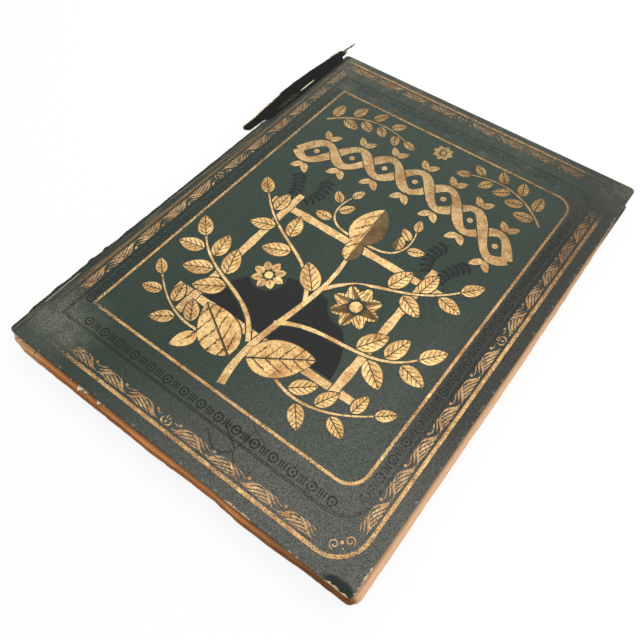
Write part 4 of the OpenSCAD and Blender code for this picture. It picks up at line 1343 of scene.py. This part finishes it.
def lip_width(y):
    """How far the cloth stands out past the board's spine edge."""
    wide = 1.3 + 1.4 * torn(y, 70, 11, 1.6)
    wide += 2.3 * math.exp(-((y + 118) / 2.6) ** 2) + 1.9 * math.exp(-((y + 104) / 2.0) ** 2)
    return clamp(wide / 3.6) * 3.6 * clamp((y - lip_from) / 5) * clamp((lip_to - y) / 8)


lip_steps, lip_across = 260, 6
lip_held = 0.9
rows = []
for i in range(lip_steps + 1):
    y = lip_from + (lip_to - lip_from) * i / lip_steps
    wide = lip_width(y)
    row = []
    for j in range(lip_across + 1):
        out = (wide + lip_held) * j / lip_across - lip_held
        droop = 0.16 * max(out, 0) ** 1.4 * (1.2 + wander(y, 90, 9))
        row.append((-board_x - out, y, cover_top + 0.06 - droop))
    rows.append(row)
f = Finish("torn_lip_cloth", laid=True)
colour = f.mix(f.noise(5, 3), srgb(26, 31, 28), srgb(48, 56, 50))
colour = f.mix(f.noise(0.9, 3, 0.6).ramp(0.52, 0.62) * 0.6, colour, srgb(112, 104, 82))
lip_cloth = f.done(colour, roughness=0.8, gloss=0.1, relief=f.noise(0.6, 2), depth=0.2)
lip = sheet("spine_lip", rows, 0.3, lip_cloth)
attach(lip, "front_cover")
print("lip stands out up to", round(max(lip_width(lip_from + i) for i in range(240)), 1), "mm")

# %% [markdown]
# At the tail edge near the spine, the turn-in and its paper are torn. Scraps of cream paper stand out from
# under the cover, each one a small pointed sheet with a curl. They are one piece, because they all turn
# with the cover, and their places and sizes are listed.

# %% Torn scraps at the tail edge
scraps = [(-136.4, 6.0, 2.2, 0.2), (-131.4, 5.0, 2.0, -0.3), (-92.5, 1.8, 1.2, 0.3), (-81.0, 2.0, 1.4, 0.4),
          (-71.4, 6.4, 4.0, 1.4), (-66.4, 6.0, 2.4, 0.5), (-54.0, 5.4, 2.8, 0.9), (-50.0, 2.6, 1.4, 0.2)]
f = Finish("torn_scraps", laid=True)
colour = f.mix(f.noise(2.2, 3, 0.6).ramp(0.38, 0.62), srgb(236, 228, 204), srgb(186, 174, 144))
scrap_paper = f.done(colour, roughness=0.85, gloss=0.12, relief=f.noise(0.6, 3), depth=0.1)
scrap_rows = 7
scrap_line = (-1, -0.5, 0, 0.5, 1)
points, faces = [], []
for x, wide, long, curl in scraps:
    first = len(points)
    for i in range(scrap_rows):
        share = i / (scrap_rows - 1)
        half = wide / 2 * (1 - share ** 1.6) + 0.05
        for j in scrap_line:
            side = x + half * j + long * 0.25 * share + 0.2 * wander(x + i, j, 2)
            lift = curl * share ** 2 - 0.25 * share + 0.12 * j * j
            points.append((side, -board_y + 1.0 - (long + 1.0) * share, front_inner + 0.5 + lift))
    points += [(a, b, c - 0.15) for a, b, c in points[first:]]
    faces += grid_faces(first, scrap_rows, len(scrap_line))
torn_scraps = torn_piece("tail_edge_scraps", points, faces, scrap_paper)
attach(torn_scraps, "front_cover")
print("scraps:", len(scraps))

# %% [markdown]
# The plain solids that are left need no new shape, only finishes of their own. The boards are brown
# millboard. The papers pasted to them let the edge of the turned-in cloth show through, and have grown
# spots like the leaves.

# %% Finishes of the boards and papers
f = Finish("millboard")
fibre = f.noise(1, 4, 0.7, f.stretch(1.6, 1.6, 0.5))
colour = f.mix(fibre.ramp(0.35, 0.65), srgb(112, 88, 56), srgb(156, 130, 90))
colour = f.mix(f.noise(0.8, 3, 0.7).ramp(0.64, 0.72) * 0.6, colour, srgb(70, 54, 36))
millboard = f.done(colour, roughness=0.9, gloss=0.1, relief=fibre, depth=0.25)

f = Finish("pasted_endpaper")
over_cloth = (from_edge(f) + (f.noise(20, 2) - 0.5) * 1.2).ramp(turn_in + 0.6, turn_in)
colour = f.mix(f.noise(60, 3).ramp(0.35, 0.7) * 0.4, srgb(226, 208, 168), srgb(204, 176, 126))
colour = f.mix(from_edge(f).ramp(30, 2) * 0.35, colour, srgb(176, 138, 86))
colour = f.mix(over_cloth * 0.12, colour, srgb(96, 98, 74))
colour = f.mix(foxing(f, 19) * 0.5, colour, srgb(158, 110, 62))
relief = over_cloth + f.noise(1.2, 4, 0.7) * 0.2
pasted = f.done(colour, roughness=0.8, gloss=0.15, relief=relief, depth=0.2)

f = Finish("stout_guard_paper")
layers = f.noise(1, 4, 0.65, f.stretch(20, 20, 0.3)).ramp(0.4, 0.62)
colour = f.mix(layers, srgb(206, 178, 128), srgb(150, 112, 66))
guard_paper = f.done(colour, roughness=0.88, gloss=0.12, relief=f.noise(0.9, 4, 0.7), depth=0.08)
paint_nodes(millboard, "front_board", "rear_board")
paint_nodes(pasted, "front_pastedown", "rear_pastedown")
paint_nodes(guard_paper, "guard_strips")
print("board and paper finishes", millboard.name, pasted.name, guard_paper.name)

# %% [markdown]
# At the bare spine the sewing shows: linen tapes with waxed thread round them, the open starched cloth
# called mull, and what is left of the spine's lining. Real mull is a net. Its yarns could be modelled
# one by one, but clear gaps in a thin sheet look the same, and glue fills some of them.

# %% Finishes of the sewing
f = Finish("linen_tape")
warp = ((f.y / 0.55).part() - 0.5).size()
weft = ((f.z / 0.55).part() - 0.5).size()
weave = (warp + weft).ramp(0.1, 0.8)
colour = f.mix(weave, srgb(132, 112, 76), srgb(196, 176, 132))
colour = f.mix(f.noise(4, 3).ramp(0.5, 0.7) * 0.5, colour, srgb(120, 88, 50))
linen_tape = f.done(colour, roughness=0.9, gloss=0.1, relief=weave, depth=0.12)

f = Finish("waxed_thread")
twist = ((f.y * 1.6 + f.z * 1.6 + f.x * 0.8).part() - 0.5).size()
colour = f.mix(twist.ramp(0.1, 0.4), srgb(150, 126, 84), srgb(216, 198, 156))
waxed_thread = f.done(colour, roughness=0.6, gloss=0.3, relief=twist, depth=0.1)

f = Finish("open_mull")
across = ((f.y / 1.15 + (f.noise(9) - 0.5) * 0.8).part() - 0.5).size()
along = ((f.z / 1.15 + (f.noise(9, seed=4) - 0.5) * 0.8).part() - 0.5).size()
yarn_shape = across.most(along)
glue = f.noise(7, 4, 0.6).ramp(0.5, 0.56)
solid = yarn_shape.ramp(0.27, 0.33).most(glue)
colour = f.mix(glue * 0.7, srgb(198, 178, 134), srgb(134, 94, 50))
open_mull = f.done(colour, roughness=0.8, gloss=0.2, relief=yarn_shape, depth=0.1, Alpha=solid)

f = Finish("spine_lining_paper")
colour = f.mix(f.noise(3, 4, 0.65).ramp(0.4, 0.62), srgb(214, 188, 142), srgb(146, 102, 56))
lining_left = f.done(colour, roughness=0.85, gloss=0.12, relief=f.noise(1.1, 4, 0.7), depth=0.15)

paint_nodes(linen_tape, "sewing_tapes")
paint_nodes(waxed_thread, "sewing_thread")
paint_nodes(open_mull, "mull")
paint_nodes(lining_left, "spine_paper")
print("sewing finishes", linen_tape.name, waxed_thread.name, open_mull.name, lining_left.name)
